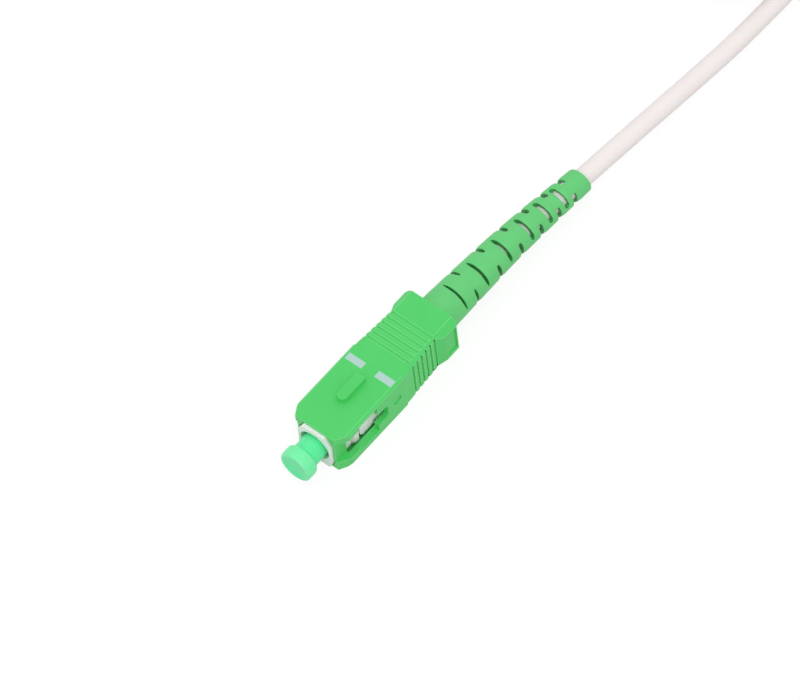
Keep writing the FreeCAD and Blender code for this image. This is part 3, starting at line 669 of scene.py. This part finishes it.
def makeBootRubber():
    material, tree, shader = newMaterial(
        "greenMouldedElastomer",
        {"IOR": bootLook["ior"], "Roughness": bootLook["roughness"]},
    )
    place = addNode(tree, "ShaderNodeTexCoord").outputs["Object"]
    body = driftingTones(tree, place, bootLook)
    handled = addNode(
        tree,
        "ShaderNodeTexNoise",
        None,
        {
            "Vector": place,
            "Scale": 1 / (bootLook["hazeSize"] * mm),
            "Detail": bootLook["hazeDetail"],
        },
    )
    haze = addNode(
        tree,
        "ShaderNodeMapRange",
        {"interpolation_type": "SMOOTHSTEP"},
        {
            "Value": handled.outputs[0],
            "From Min": bootLook["hazeFrom"],
            "From Max": bootLook["hazeTo"],
            "To Max": bootLook["hazeAmount"],
        },
    )
    hazy = addNode(
        tree,
        "ShaderNodeMix",
        {"data_type": "RGBA"},
        {"Factor": haze.outputs[0], mixA: body, mixB: linearColour(bootLook["haze"])},
    )
    # painted shade: faces that reach the inner side take the deeper green
    sawnAndShaded = addNode(tree, "ShaderNodeAttribute", {"attribute_name": "wallShadeShare"})
    walls = addNode(
        tree,
        "ShaderNodeMix",
        {"data_type": "RGBA"},
        {
            "Factor": sawnAndShaded.outputs["Fac"],
            mixA: hazy.outputs[mixOut],
            mixB: linearColour(bootLook["sawnAndShaded"]),
        },
    )
    # painted highlight: rim strips are mixed toward the lighter rim green
    rims = addNode(tree, "ShaderNodeAttribute", {"attribute_name": "rimHighlightShare"})
    rimHighlightAmount = addNode(
        tree,
        "ShaderNodeMath",
        {"operation": "MULTIPLY"},
        {0: rims.outputs["Fac"], 1: bootLook["rimHighlightAmount"]},
    )
    skin = addNode(
        tree,
        "ShaderNodeMix",
        {"data_type": "RGBA"},
        {
            "Factor": rimHighlightAmount.outputs[0],
            mixA: walls.outputs[mixOut],
            mixB: linearColour(bootLook["rim"]),
        },
    )
    tree.links.new(skin.outputs[mixOut], shader.inputs["Base Color"])
    addGrain(tree, place, shader, bootLook)
    return material


# aramid yarn, combed golden filaments that run along the cable: drawn 0.12 mm wide, because
# each real one is 0.012
yarnLook = {
    "tones": ("#b98a2c", "#ecc566"),
    "filament": 0.12,
    "run": 4.0,
    "detail": 1.0,
    "roughness": 0.5,
    "height": 0.03,
}


def makeYarn():
    material, tree, shader = newMaterial("combedAramidYarn", {"Roughness": yarnLook["roughness"]})
    place = addNode(tree, "ShaderNodeTexCoord").outputs["Object"]
    spread = 1 / (yarnLook["filament"] * mm)
    drawnOut = addNode(
        tree,
        "ShaderNodeMapping",
        None,
        {"Vector": place, "Scale": (1 / (yarnLook["run"] * mm), spread, spread)},
    )
    strands = addNode(
        tree,
        "ShaderNodeTexNoise",
        None,
        {"Vector": drawnOut.outputs[0], "Scale": 1.0, "Detail": yarnLook["detail"]},
    )
    darker, lighter = (linearColour(tone) for tone in yarnLook["tones"])
    skin = addNode(
        tree,
        "ShaderNodeMix",
        {"data_type": "RGBA"},
        {"Factor": strands.outputs[0], mixA: darker, mixB: lighter},
    )
    tree.links.new(skin.outputs[mixOut], shader.inputs["Base Color"])
    bump = addNode(
        tree,
        "ShaderNodeBump",
        None,
        {"Height": strands.outputs[0], "Distance": yarnLook["height"] * mm},
    )
    tree.links.new(bump.outputs["Normal"], shader.inputs["Normal"])
    return material


# hook-and-loop strap, woven nylon with a napped face that looks like fine felt
strapLook = {"tones": ("#ecebe8", "#c4c4c1"), "loop": 0.35, "roughness": 0.85, "height": 0.08}


def makeStrapCloth():
    material, tree, shader = newMaterial("nappedStrapCloth", {"Roughness": strapLook["roughness"]})
    place = addNode(tree, "ShaderNodeTexCoord").outputs["Object"]
    loops = addNode(
        tree,
        "ShaderNodeTexVoronoi",
        {"feature": "F1"},
        {"Vector": place, "Scale": 1 / (strapLook["loop"] * mm)},
    )
    lighter, darker = (linearColour(tone) for tone in strapLook["tones"])
    skin = addNode(
        tree,
        "ShaderNodeMix",
        {"data_type": "RGBA"},
        {"Factor": loops.outputs["Distance"], mixA: lighter, mixB: darker},
    )
    tree.links.new(skin.outputs[mixOut], shader.inputs["Base Color"])
    bump = addNode(
        tree,
        "ShaderNodeBump",
        None,
        {"Height": loops.outputs["Distance"], "Distance": strapLook["height"] * mm},
    )
    tree.links.new(bump.outputs["Normal"], shader.inputs["Normal"])
    return material


gripPlastic = makeGripPlastic()
made = {name: makeFinish(name) for name in finishes}
capPlastic = makeCapPlastic()
bootRubber = makeBootRubber()
yarn = makeYarn()
strapCloth = makeStrapCloth()
print("materials made")


# the grip and the plug frame are the solids' own shapes with their moulded edges rounded
housing = {
    "rim": 0.06,
    "segments": 2,
    "waistFrom": (13.95, 4.43),  # place along the axis, and half the width there
    "waistTo": (21.30, 3.95),
    "firstRib": 16.05,
    "ribPitch": 1.0,
    "ribs": 6,
    "bevelEdge": 3.2,  # height of the side faces' long edges
    "notchReach": (-0.4, 0.22),  # below and above that edge
    "notchDepth": 0.17,
    "notchFloor": 0.13,  # half its width at the floor
    "notchBrim": 0.27,  # and at the brim, which is off the face
    "brimAbove": 0.1,
}


def notchCorners(middle, ySide, zSide):
    (front, wide), (rear, narrow) = housing["waistFrom"], housing["waistTo"]
    half = wide + (narrow - wide) * (middle - front) / (rear - front)
    floor, brim = half - housing["notchDepth"], half + housing["brimAbove"]
    for reach in housing["notchReach"]:
        z = (housing["bevelEdge"] + reach) * zSide * mm
        yield ((middle - housing["notchFloor"]) * mm, floor * ySide * mm, z)
        yield ((middle + housing["notchFloor"]) * mm, floor * ySide * mm, z)
        yield ((middle + housing["notchBrim"]) * mm, brim * ySide * mm, z)
        yield ((middle - housing["notchBrim"]) * mm, brim * ySide * mm, z)


def notchEdges(piece):  # the side grooves' ends notch the long edges of the bevels
    corners, faces = [], []
    for number in range(housing["ribs"]):
        middle = housing["firstRib"] + number * housing["ribPitch"]
        for ySide, zSide in ((1, 1), (-1, 1), (1, -1), (-1, -1)):
            start = len(corners)
            corners += notchCorners(middle, ySide, zSide)
            faces.append([start, start + 1, start + 2, start + 3])
            faces.append([start + 4, start + 5, start + 6, start + 7])
            for corner in range(4):
                near, beside = start + corner, start + (corner + 1) % 4
                faces.append([near, beside, beside + 4, near + 4])
    cutterMesh = bpy.data.meshes.new("notchCutters")
    cutterMesh.from_pydata(corners, [], faces)
    cutter = bpy.data.objects.new("notchCutters", cutterMesh)
    bpy.context.scene.collection.objects.link(cutter)
    selectOnly(cutter)
    bpy.ops.object.mode_set(mode="EDIT")
    bpy.ops.mesh.select_all(action="SELECT")
    bpy.ops.mesh.normals_make_consistent(inside=False)
    bpy.ops.object.mode_set(mode="OBJECT")
    selectOnly(piece)
    cut = piece.modifiers.new("edgeNotches", "BOOLEAN")
    cut.object = cutter
    cut.solver = "EXACT"
    bpy.ops.object.modifier_apply(modifier=cut.name)
    selectOnly(cutter)
    bpy.ops.object.delete()


gripShell = weldedCopy("outer_housing", "gripShell")
notchEdges(gripShell)
softenRims(gripShell, housing["rim"] * mm, housing["segments"])
smoothFaces(gripShell)
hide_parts("outer_housing")
finish(gripShell, gripPlastic, "grip")

plug = {
    "rim": 0.06,
    "segments": 2,
    "bossStretch": (5.6, 10.45),  # place along the axis
    "bossFace": 2.84,  # half the width over the bosses, in the solid and here
    "bossReach": 3.14,
    "faceWithin": 0.003,
    "endsWithin": 0.01,
}
innerFrame = weldedCopy("plug_frame", "innerFrame")
# the bosses in the windows stand out a little more than the solid's
bossFront = plug["bossStretch"][0] - plug["endsWithin"]
bossRear = plug["bossStretch"][1] + plug["endsWithin"]
for vertex in innerFrame.data.vertices:
    onFace = abs(abs(vertex.co.y) - plug["bossFace"] * mm) < plug["faceWithin"] * mm
    if onFace and bossFront < vertex.co.x / mm < bossRear:
        vertex.co.y = math.copysign(plug["bossReach"] * mm, vertex.co.y)
softenRims(innerFrame, plug["rim"] * mm, plug["segments"])
smoothFaces(innerFrame)
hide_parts("plug_frame")
finish(innerFrame, made["whiteMouldedPbt"], "connector")
print("housing and frame made")


# the boot is a turned tapering sleeve, sawn open in turn on two pairs of sides, that bends a
# little with the cable inside it
boot = {
    "sides": 180,
    "radius": 3.0,
    "taperFrom": 26.5,
    "endRadius": 2.0,
    "endRound": 0.22,
    "endCorner": 0.3,  # the share of the round at which its one ring between stands
    "inside": (
        (16.25, 2.53),
        (22.50, 2.53),
        (23.50, 1.91),
        (27.45, 1.91),
        (27.60, 1.55),
        (60.00, 1.55),
    ),
    "topSlots": (
        (29.10, 0.36),
        (33.90, 0.48),
        (38.95, 0.56),
        (43.60, 0.64),
        (47.42, 0.72),
        (50.75, 0.80),
    ),
    "sideSlots": (
        (31.68, 0.46),
        (36.76, 0.62),
        (41.48, 0.66),
        (45.70, 0.72),
        (49.42, 0.78),
        (52.74, 0.84),
    ),
    "topFacing": 119,
    "sideFacing": 22,
    "topOpenTo": 57,
    "sideOpenTo": 61,
    "narrowsFrom": 26,  # degrees off the middle of the narrowest slot
    "bluntness": 60,  # degrees later for each millimetre of width
    "nearLag": (0.16, 0.32),  # mm that the side slots at negative y sit nearer to the plug
    "lipReach": (0.12, 0.42),
    "lipDip": 0.12,
    "lipPast": 0.1,  # degrees past a slot's end that still belong to its lips
    "onLip": 0.001,  # mm, rings nearer than this to a slot's edge make its lip
    "firstWall": 0.3,  # any wall will do, because its inner side is then moved to the bore
    "ringSpacing": 1.0,
    "rim": 0.06,
    "rimSegments": 2,
    "sharpest": 50,
    "smoothUnder": 40,
    "bendFrom": 28.0,
    "easeReach": 3.0,
    "easeSteps": 4,
}
bootLow, bootHigh = (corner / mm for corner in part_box("boot"))
bootSlots = [(*slot, boot["topFacing"], boot["topOpenTo"]) for slot in boot["topSlots"]]
bootSlots += [(*slot, boot["sideFacing"], boot["sideOpenTo"]) for slot in boot["sideSlots"]]
narrowestSlot = min(width for middle, width, facing, openTo in bootSlots)


def bootRadius(along):
    share = (along - boot["taperFrom"]) / (bootHigh.x - boot["endRound"] - boot["taperFrom"])
    return boot["radius"] + (boot["endRadius"] - boot["radius"]) * min(1, max(0, share))


def bootInside(along):
    for (before, first), (after, last) in zip(boot["inside"], boot["inside"][1:]):
        if along <= after:
            return first + (last - first) * max(0, along - before) / (after - before)


def offFacing(y, z, facing):  # degrees from the middle of the nearer of two opposite slots
    around = math.degrees(math.atan2(z, y))
    return abs((around - facing + 90) % 180 - 90)


def openShare(off, width, openTo):  # 1 along a slot, closing to nothing at its pointed end
    narrowsFrom = boot["narrowsFrom"] + boot["bluntness"] * (width - narrowestSlot)
    past = (off - narrowsFrom) / (openTo - narrowsFrom)
    return math.sqrt(max(0, 1 - max(0, past) ** 2))


def nearLag(middle, facing, y):  # the first and the last side slot's lag, and between them
    if facing != boot["sideFacing"] or y > 0:
        return 0
    first, last = boot["sideSlots"][0][0], boot["sideSlots"][-1][0]
    least, most = boot["nearLag"]
    return least + (most - least) * (middle - first) / (last - first)


def bootRings():
    places = {along for along, radius in boot["inside"][1:-1]}
    places |= {bootLow.x, bootHigh.x - boot["endRound"]}
    for middle, width, facing, openTo in bootSlots:
        for reach in (0, *boot["lipReach"]):
            places.add(round(middle - width / 2 - reach, 4))
            places.add(round(middle + width / 2 + reach, 4))
    places = sorted(places)
    rings = []
    for before, after in zip(places, places[1:]):
        parts = max(1, round((after - before) / boot["ringSpacing"]))
        for part in range(parts):
            along = before + (after - before) * part / parts
            rings.append((along, bootRadius(along)))
    last, radius, corner = bootHigh.x, boot["endRadius"], boot["endRound"] * boot["endCorner"]
    rings.append((last - boot["endRound"], radius))
    rings.append((last - corner, radius - corner))
    rings.append((last, radius - boot["endRound"]))
    return rings


def sawSlots(piece):  # lips sink a little, slot ends close to a point, and the slots are opened
    for vertex in piece.data.vertices:
        along, y, z = vertex.co / mm
        for middle, width, facing, openTo in bootSlots:
            off = offFacing(y, z, facing)
            reach = abs(along - middle) - width / 2
            if reach > boot["lipReach"][-1] or off > openTo + boot["lipPast"]:
                continue
            share = openShare(off, width, openTo)
            sunk = 1 - max(0, reach) / boot["lipReach"][-1]
            dip = boot["lipDip"] * sunk**2 * share
            shrink = 1 - dip / math.hypot(y, z)
            vertex.co.y *= shrink
            vertex.co.z *= shrink
            if abs(reach) < boot["onLip"]:
                vertex.co.x = (middle + (along - middle) * share) * mm
            vertex.co.x -= nearLag(middle, facing, y) * sunk * mm
    selectOnly(piece)
    bpy.ops.object.mode_set(mode="EDIT")
    bpy.ops.mesh.select_mode(type="FACE")
    bpy.ops.mesh.select_all(action="DESELECT")
    bpy.ops.object.mode_set(mode="OBJECT")
    for face in piece.data.polygons:
        along, y, z = face.center / mm
        face.select = any(
            abs(along + nearLag(middle, facing, y) - middle) < width / 4
            and offFacing(y, z, facing) < openTo
            for middle, width, facing, openTo in bootSlots
        )
    bpy.ops.object.mode_set(mode="EDIT")
    bpy.ops.mesh.delete(type="FACE")
    bpy.ops.mesh.select_all(action="SELECT")
    bpy.ops.mesh.remove_doubles(threshold=weldReach)
    bpy.ops.mesh.normals_make_consistent(inside=False)
    bpy.ops.object.mode_set(mode="OBJECT")


def thickenBoot(piece):  # the wall goes in to the bore, which steps over the crimp
    skin = [vertex.co.copy() for vertex in piece.data.vertices]
    selectOnly(piece)
    wall = piece.modifiers.new("bootWall", "SOLIDIFY")
    wall.thickness = boot["firstWall"] * mm
    wall.offset = -1
    bpy.ops.object.modifier_apply(modifier=wall.name)
    outerCount = len(skin)
    for vertex in piece.data.vertices[outerCount:]:
        outer = skin[vertex.index - outerCount]
        shrink = bootInside(outer.x / mm) * mm / math.hypot(outer.y, outer.z)
        vertex.co = (outer.x, outer.y * shrink, outer.z * shrink)
    # faces that reach the inner side are marked for the painted shade
    sawnAndShaded = piece.data.attributes.new("wallShadeShare", "FLOAT", "FACE")
    for face, share in zip(piece.data.polygons, sawnAndShaded.data):
        share.value = max(face.vertices) >= outerCount


def slotOpenness(place):
    y, z = place.yz / mm
    return min(
        (
            openShare(offFacing(y, z, facing), width, openTo)
            for middle, width, facing, openTo in bootSlots
            if abs(place.x / mm - middle) < width
        ),
        default=1.0,
    )


def cableOffset(along):  # how far the cable's line is off the axis there
    route = [Vector(point) for point in cable["route"]]
    for before, after in zip(route, route[1:]):
        if along <= after.x:
            share = max(0.0, (along - before.x) / (after.x - before.x))
            return (after - before).yz * share + before.yz
    return route[-1].yz


def smoothOffset(along):  # the same, eased over the neighbouring points
    reach, count = boot["easeReach"], boot["easeSteps"]
    steps = range(-count, count + 1)
    samples = [cableOffset(along + reach * step / count) for step in steps]
    weights = [1 - abs(step) / (count + 1) for step in steps]
    weighted = (sample * weight for sample, weight in zip(samples, weights))
    return sum(weighted, Vector((0, 0))) / sum(weights)


bootSleeve = turnRings("bootSleeve", bootRings(), boot["sides"])
sawSlots(bootSleeve)
thickenBoot(bootSleeve)
# the rims' strips, weighted by how open the slot is there, carry the painted highlight
softenRims(bootSleeve, boot["rim"] * mm, boot["rimSegments"], boot["sharpest"], slotOpenness)
for vertex in bootSleeve.data.vertices:
    if vertex.co.x > boot["bendFrom"] * mm:
        offset = smoothOffset(vertex.co.x / mm)
        vertex.co.y += offset.x * mm
        vertex.co.z += offset.y * mm
selectOnly(bootSleeve)
bpy.ops.object.shade_smooth_by_angle(angle=math.radians(boot["smoothUnder"]))
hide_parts("boot")
finish(bootSleeve, bootRubber, "connector")
print("boot made, slots sawn:", len(bootSlots) * 2)


# the dust cap is turned up ring by ring from the dished face, over the head and along the neck,
# then back down the bore that grips the ferrule
cap = {
    "sides": 96,
    "rings": (  # place along the axis, radius, and how much painted glow the wall takes there
        (-4.30, 0.7, 0.1),
        (-4.36, 1.3, 0.1),
        (-4.46, 1.8, 0.15),
        (-4.54, 2.04, 0.3),
        (-4.57, 2.20, 0.7),
        (-4.55, 2.33, 1.0),
        (-4.48, 2.43, 1.0),
        (-4.34, 2.50, 1.0),
        (-4.10, 2.54, 1.0),
        (-3.30, 2.56, 1.0),
        (-2.98, 2.54, 1.0),
        (-2.74, 2.48, 1.0),
        (-2.58, 2.38, 0.9),
        (-2.49, 2.25, 0.7),
        (-2.44, 2.12, 0.4),
        (-2.38, 2.03, 0.1),
        (-2.26, 1.985, 0.0),
        (-1.20, 1.98, 0.0),
        (1.40, 1.98, 0.0),
        (3.70, 1.97, 0.0),
        (3.88, 1.93, 0.0),
        (3.97, 1.85, 0.0),
        (4.00, 1.75, 0.0),
        (4.00, 1.42, 0.0),
        (3.93, 1.33, 0.0),
        (3.80, 1.28, 0.0),
        (1.00, 1.27, 0.0),
        (-1.75, 1.27, 0.0),
        (-1.86, 1.22, 0.0),
        (-1.90, 1.10, 0.0),
        (-1.90, 0.5, 0.0),
    ),
    "dish": 0.03,
    "smoothUnder": 50,
    "droopFrom": 1.0,
    "droop": (-0.02, -0.02),  # the soft neck hangs and leans that much to each mm
}


def closePoles(piece, depth):  # the bottom of the bore, then the middle of the dish
    selectOnly(piece)
    bpy.ops.object.mode_set(mode="EDIT")
    bpy.ops.mesh.extrude_edges_move(TRANSFORM_OT_translate={"value": (0, 0, 0)})
    bpy.ops.mesh.merge(type="CENTER")
    bpy.ops.mesh.select_all(action="DESELECT")
    bpy.ops.mesh.select_non_manifold(extend=False)
    bpy.ops.mesh.extrude_edges_move(TRANSFORM_OT_translate={"value": (depth, 0, 0)})
    bpy.ops.mesh.merge(type="CENTER")
    bpy.ops.mesh.select_all(action="SELECT")
    bpy.ops.mesh.remove_doubles(threshold=weldReach)
    bpy.ops.mesh.normals_make_consistent(inside=False)
    bpy.ops.object.mode_set(mode="OBJECT")


def markThroughGlow(piece):
    throughGlow = piece.data.attributes.new("throughGlowShare", "FLOAT", "POINT")
    for vertex, share in zip(piece.data.vertices, throughGlow.data):
        along, radius = vertex.co.x / mm, vertex.co.yz.length / mm
        nearest = min(cap["rings"], key=lambda ring: math.hypot(ring[0] - along, ring[1] - radius))
        share.value = nearest[2]


capPiece = turnRings("dustCap", cap["rings"], cap["sides"])
closePoles(capPiece, cap["dish"] * mm)
markThroughGlow(capPiece)
for vertex in capPiece.data.vertices:
    hanging = max(0, cap["droopFrom"] * mm - vertex.co.x)
    vertex.co.y += cap["droop"][0] * hanging
    vertex.co.z += cap["droop"][1] * hanging
selectOnly(capPiece)
bpy.ops.object.shade_smooth_by_angle(angle=math.radians(cap["smoothUnder"]))
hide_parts("dust_cap")
finish(capPiece, capPlastic, "cap")
print("cap made")


# the hank's tie is one strap drawn round the strands, its end pressed down over its beginning
tie = {
    "width": 6.0,
    "thickness": 0.5,
    "corner": 1.7,
    "cornerSteps": 5,
    "overlap": 11.0,
    "overlapMiddle": 3.0,
    "overlapRise": 0.55,
    "ramp": (-1.6, -0.5),  # where the end climbs, from the edge of the strap's beginning
    "rim": 0.12,
    "rimSegments": 2,
    "rimOver": 60,
    "smoothUnder": 40,
}
tieLow, tieHigh = (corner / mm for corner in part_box("hank_tie"))


def tieLine():  # the strap's middle line, once round from the top, as seen along the hank
    inset = tie["thickness"] / 2
    left, right = tieLow.y + inset, tieHigh.y - inset
    low, high = tieLow.z + inset, tieHigh.z - inset
    corner = tie["corner"]
    start = (left + right) / 2 - tie["overlap"] / 2
    line = [(start, high), ((left + right) / 2, high)]
    corners = (
        (right - corner, high - corner, math.pi / 2),
        (right - corner, low + corner, 0.0),
        (left + corner, low + corner, -math.pi / 2),
        (left + corner, high - corner, -math.pi),
    )
    for across, height, angle in corners:
        for step in range(tie["cornerSteps"] + 1):
            turned = angle - math.pi / 2 * step / tie["cornerSteps"]
            line.append(
                (across + corner * math.cos(turned), height + corner * math.sin(turned))
            )
    over = high + tie["overlapRise"]
    foot, top = tie["ramp"]
    line += [(start + foot, high), (start + top, over)]
    line += [(start + tie["overlapMiddle"], over), (start + tie["overlap"], over)]
    return line


def wrapTie():
    line = tieLine()
    middle = (tieLow.x + tieHigh.x) / 2
    bpy.ops.object.select_all(action="DESELECT")
    bpy.ops.mesh.primitive_plane_add(size=tie["width"] * mm)
    piece = bpy.context.object
    piece.name = "hankTie"
    bpy.ops.object.mode_set(mode="EDIT")
    bpy.ops.mesh.select_mode(type="VERT")
    bpy.ops.mesh.select_all(action="DESELECT")
    bpy.ops.object.mode_set(mode="OBJECT")
    for vertex in piece.data.vertices:  # one side of the plane is kept, as the strap's beginning
        vertex.select = vertex.co.y > 0
    bpy.ops.object.mode_set(mode="EDIT")
    bpy.ops.mesh.delete(type="VERT")
    bpy.ops.mesh.select_all(action="SELECT")
    first = Vector((middle, line[0][0], line[0][1])) * mm
    bpy.ops.transform.translate(value=first - Vector((0, -tie["width"] / 2 * mm, 0)))
    for before, after in zip(line, line[1:]):
        step = Vector((0, after[0] - before[0], after[1] - before[1])) * mm
        bpy.ops.mesh.extrude_edges_move(TRANSFORM_OT_translate={"value": step})
    bpy.ops.mesh.select_all(action="SELECT")
    bpy.ops.mesh.normals_make_consistent(inside=False)
    bpy.ops.object.mode_set(mode="OBJECT")
    selectOnly(piece)
    wall = piece.modifiers.new("strapThickness", "SOLIDIFY")
    wall.thickness = tie["thickness"] * mm
    wall.offset = 0
    bpy.ops.object.modifier_apply(modifier=wall.name)
    rims = piece.modifiers.new("sealedRims", "BEVEL")
    rims.width = tie["rim"] * mm
    rims.segments = tie["rimSegments"]
    rims.limit_method = "ANGLE"
    rims.angle_limit = math.radians(tie["rimOver"])
    bpy.ops.object.modifier_apply(modifier=rims.name)
    return piece


tieBand = wrapTie()
smoothFaces(tieBand, tie["smoothUnder"])
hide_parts("hank_tie")
finish(tieBand, strapCloth, "connector")

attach(pigtail, "connector")
pigtail.data.materials.append(made["whiteExtrudedJacket"])
print("cord and tie made")


# the inner pieces keep the solids' shapes
innerLooks = {
    "ferrule": "polishedZirconia",
    "fibre": "drawnSilica",
    "ferrule_flange": "nickelPlatedBrass",
    "fibre_buffer": "extrudedNylonBuffer",
    "spring": "drawnStainless",
    "stop_ring": "nickelPlatedBrass",
    "crimp_sleeve": "tumbledCrimpMetal",
}
for node, look in innerLooks.items():
    finish(frame["nodes"][node], made[look], None)
finish(frame["nodes"]["aramid_yarn"], yarn, None)

# the spring and the tight buffer get meshes of their own
for node in ("spring", "fibre_buffer"):
    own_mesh(frame["nodes"][node])
print("inner pieces dressed")


# a pale floor and sky, and one soft key light
studio = {
    "floorColour": "#cccccc",
    "floorRoughness": 0.9,
    "floorMiddle": 0.05,
    "floorReach": 1.2,
    "seenGlow": 0.87,  # the floor that the camera sees is white paper lit from below
    "seenColour": "#6e6e6e",  # and this much of it still takes the shadow
    "skyStrength": 0.80,
    "keyEnergy": 2.0,
    "keySize": 0.5,
    "keyAim": Vector((0.03, 0, 0)),
    "keyFrom": Vector((-0.25, -0.35, 0.9)),
}


def seenRays(tree):  # 1 for what the camera sees, straight or in a reflection or through a piece
    rays = addNode(tree, "ShaderNodeLightPath").outputs
    indirect = addNode(
        tree,
        "ShaderNodeMath",
        {"operation": "MAXIMUM"},
        {0: rays["Is Glossy Ray"], 1: rays["Is Transmission Ray"]},
    )
    seen = addNode(
        tree,
        "ShaderNodeMath",
        {"operation": "MAXIMUM"},
        {0: rays["Is Camera Ray"], 1: indirect.outputs[0]},
    )
    return seen.outputs[0]


bpy.ops.object.select_all(action="DESELECT")
bpy.ops.mesh.primitive_plane_add(
    size=2 * studio["floorReach"], location=(studio["floorMiddle"], 0, cadBox[0].z)
)
floor = bpy.context.object
floor.name = "paleFloor"
bpy.ops.object.transform_apply(location=True, rotation=True, scale=True)
floorMaterial, floorTree, floorShader = newMaterial(
    "matPaperFloor",
    {
        "Base Color": linearColour(studio["floorColour"]),
        "Roughness": studio["floorRoughness"],
    },
)
seen = seenRays(floorTree)
glow = addNode(
    floorTree, "ShaderNodeEmission", None, {"Color": (1, 1, 1, 1), "Strength": studio["seenGlow"]}
)
shaded = addNode(
    floorTree, "ShaderNodeBsdfDiffuse", None, {"Color": linearColour(studio["seenColour"])}
)
seenPaper = addNode(
    floorTree, "ShaderNodeAddShader", None, {0: shaded.outputs[0], 1: glow.outputs[0]}
)
paper = addNode(
    floorTree,
    "ShaderNodeMixShader",
    None,
    {0: seen, 1: floorShader.outputs[0], 2: seenPaper.outputs[0]},
)
floorOutput = next(node for node in floorTree.nodes if node.type == "OUTPUT_MATERIAL")
floorTree.links.new(paper.outputs[0], floorOutput.inputs["Surface"])
floor.data.materials.append(floorMaterial)

world = bpy.data.worlds.new("studioSky")
bpy.context.scene.world = world
world.use_nodes = True
skyTree = world.node_tree
sky = next(node for node in skyTree.nodes if node.type == "BACKGROUND")
strength = addNode(
    skyTree,
    "ShaderNodeMapRange",
    None,
    {"Value": seenRays(skyTree), "To Min": studio["skyStrength"], "To Max": 1.0},
)
sky.inputs["Color"].default_value = (1, 1, 1, 1)
skyTree.links.new(strength.outputs[0], sky.inputs["Strength"])

keyData = bpy.data.lights.new("softKey", "AREA")
keyData.shape = "DISK"
keyData.size = studio["keySize"]
keyData.energy = studio["keyEnergy"]
keyLight = bpy.data.objects.new("softKey", keyData)
bpy.context.scene.collection.objects.link(keyLight)
keyLight.location = studio["keyAim"] + studio["keyFrom"]
keyLight.rotation_euler = (-studio["keyFrom"]).to_track_quat("-Z", "Y").to_euler()

bpy.context.scene.view_settings.view_transform = "Standard"
print("stage lit")
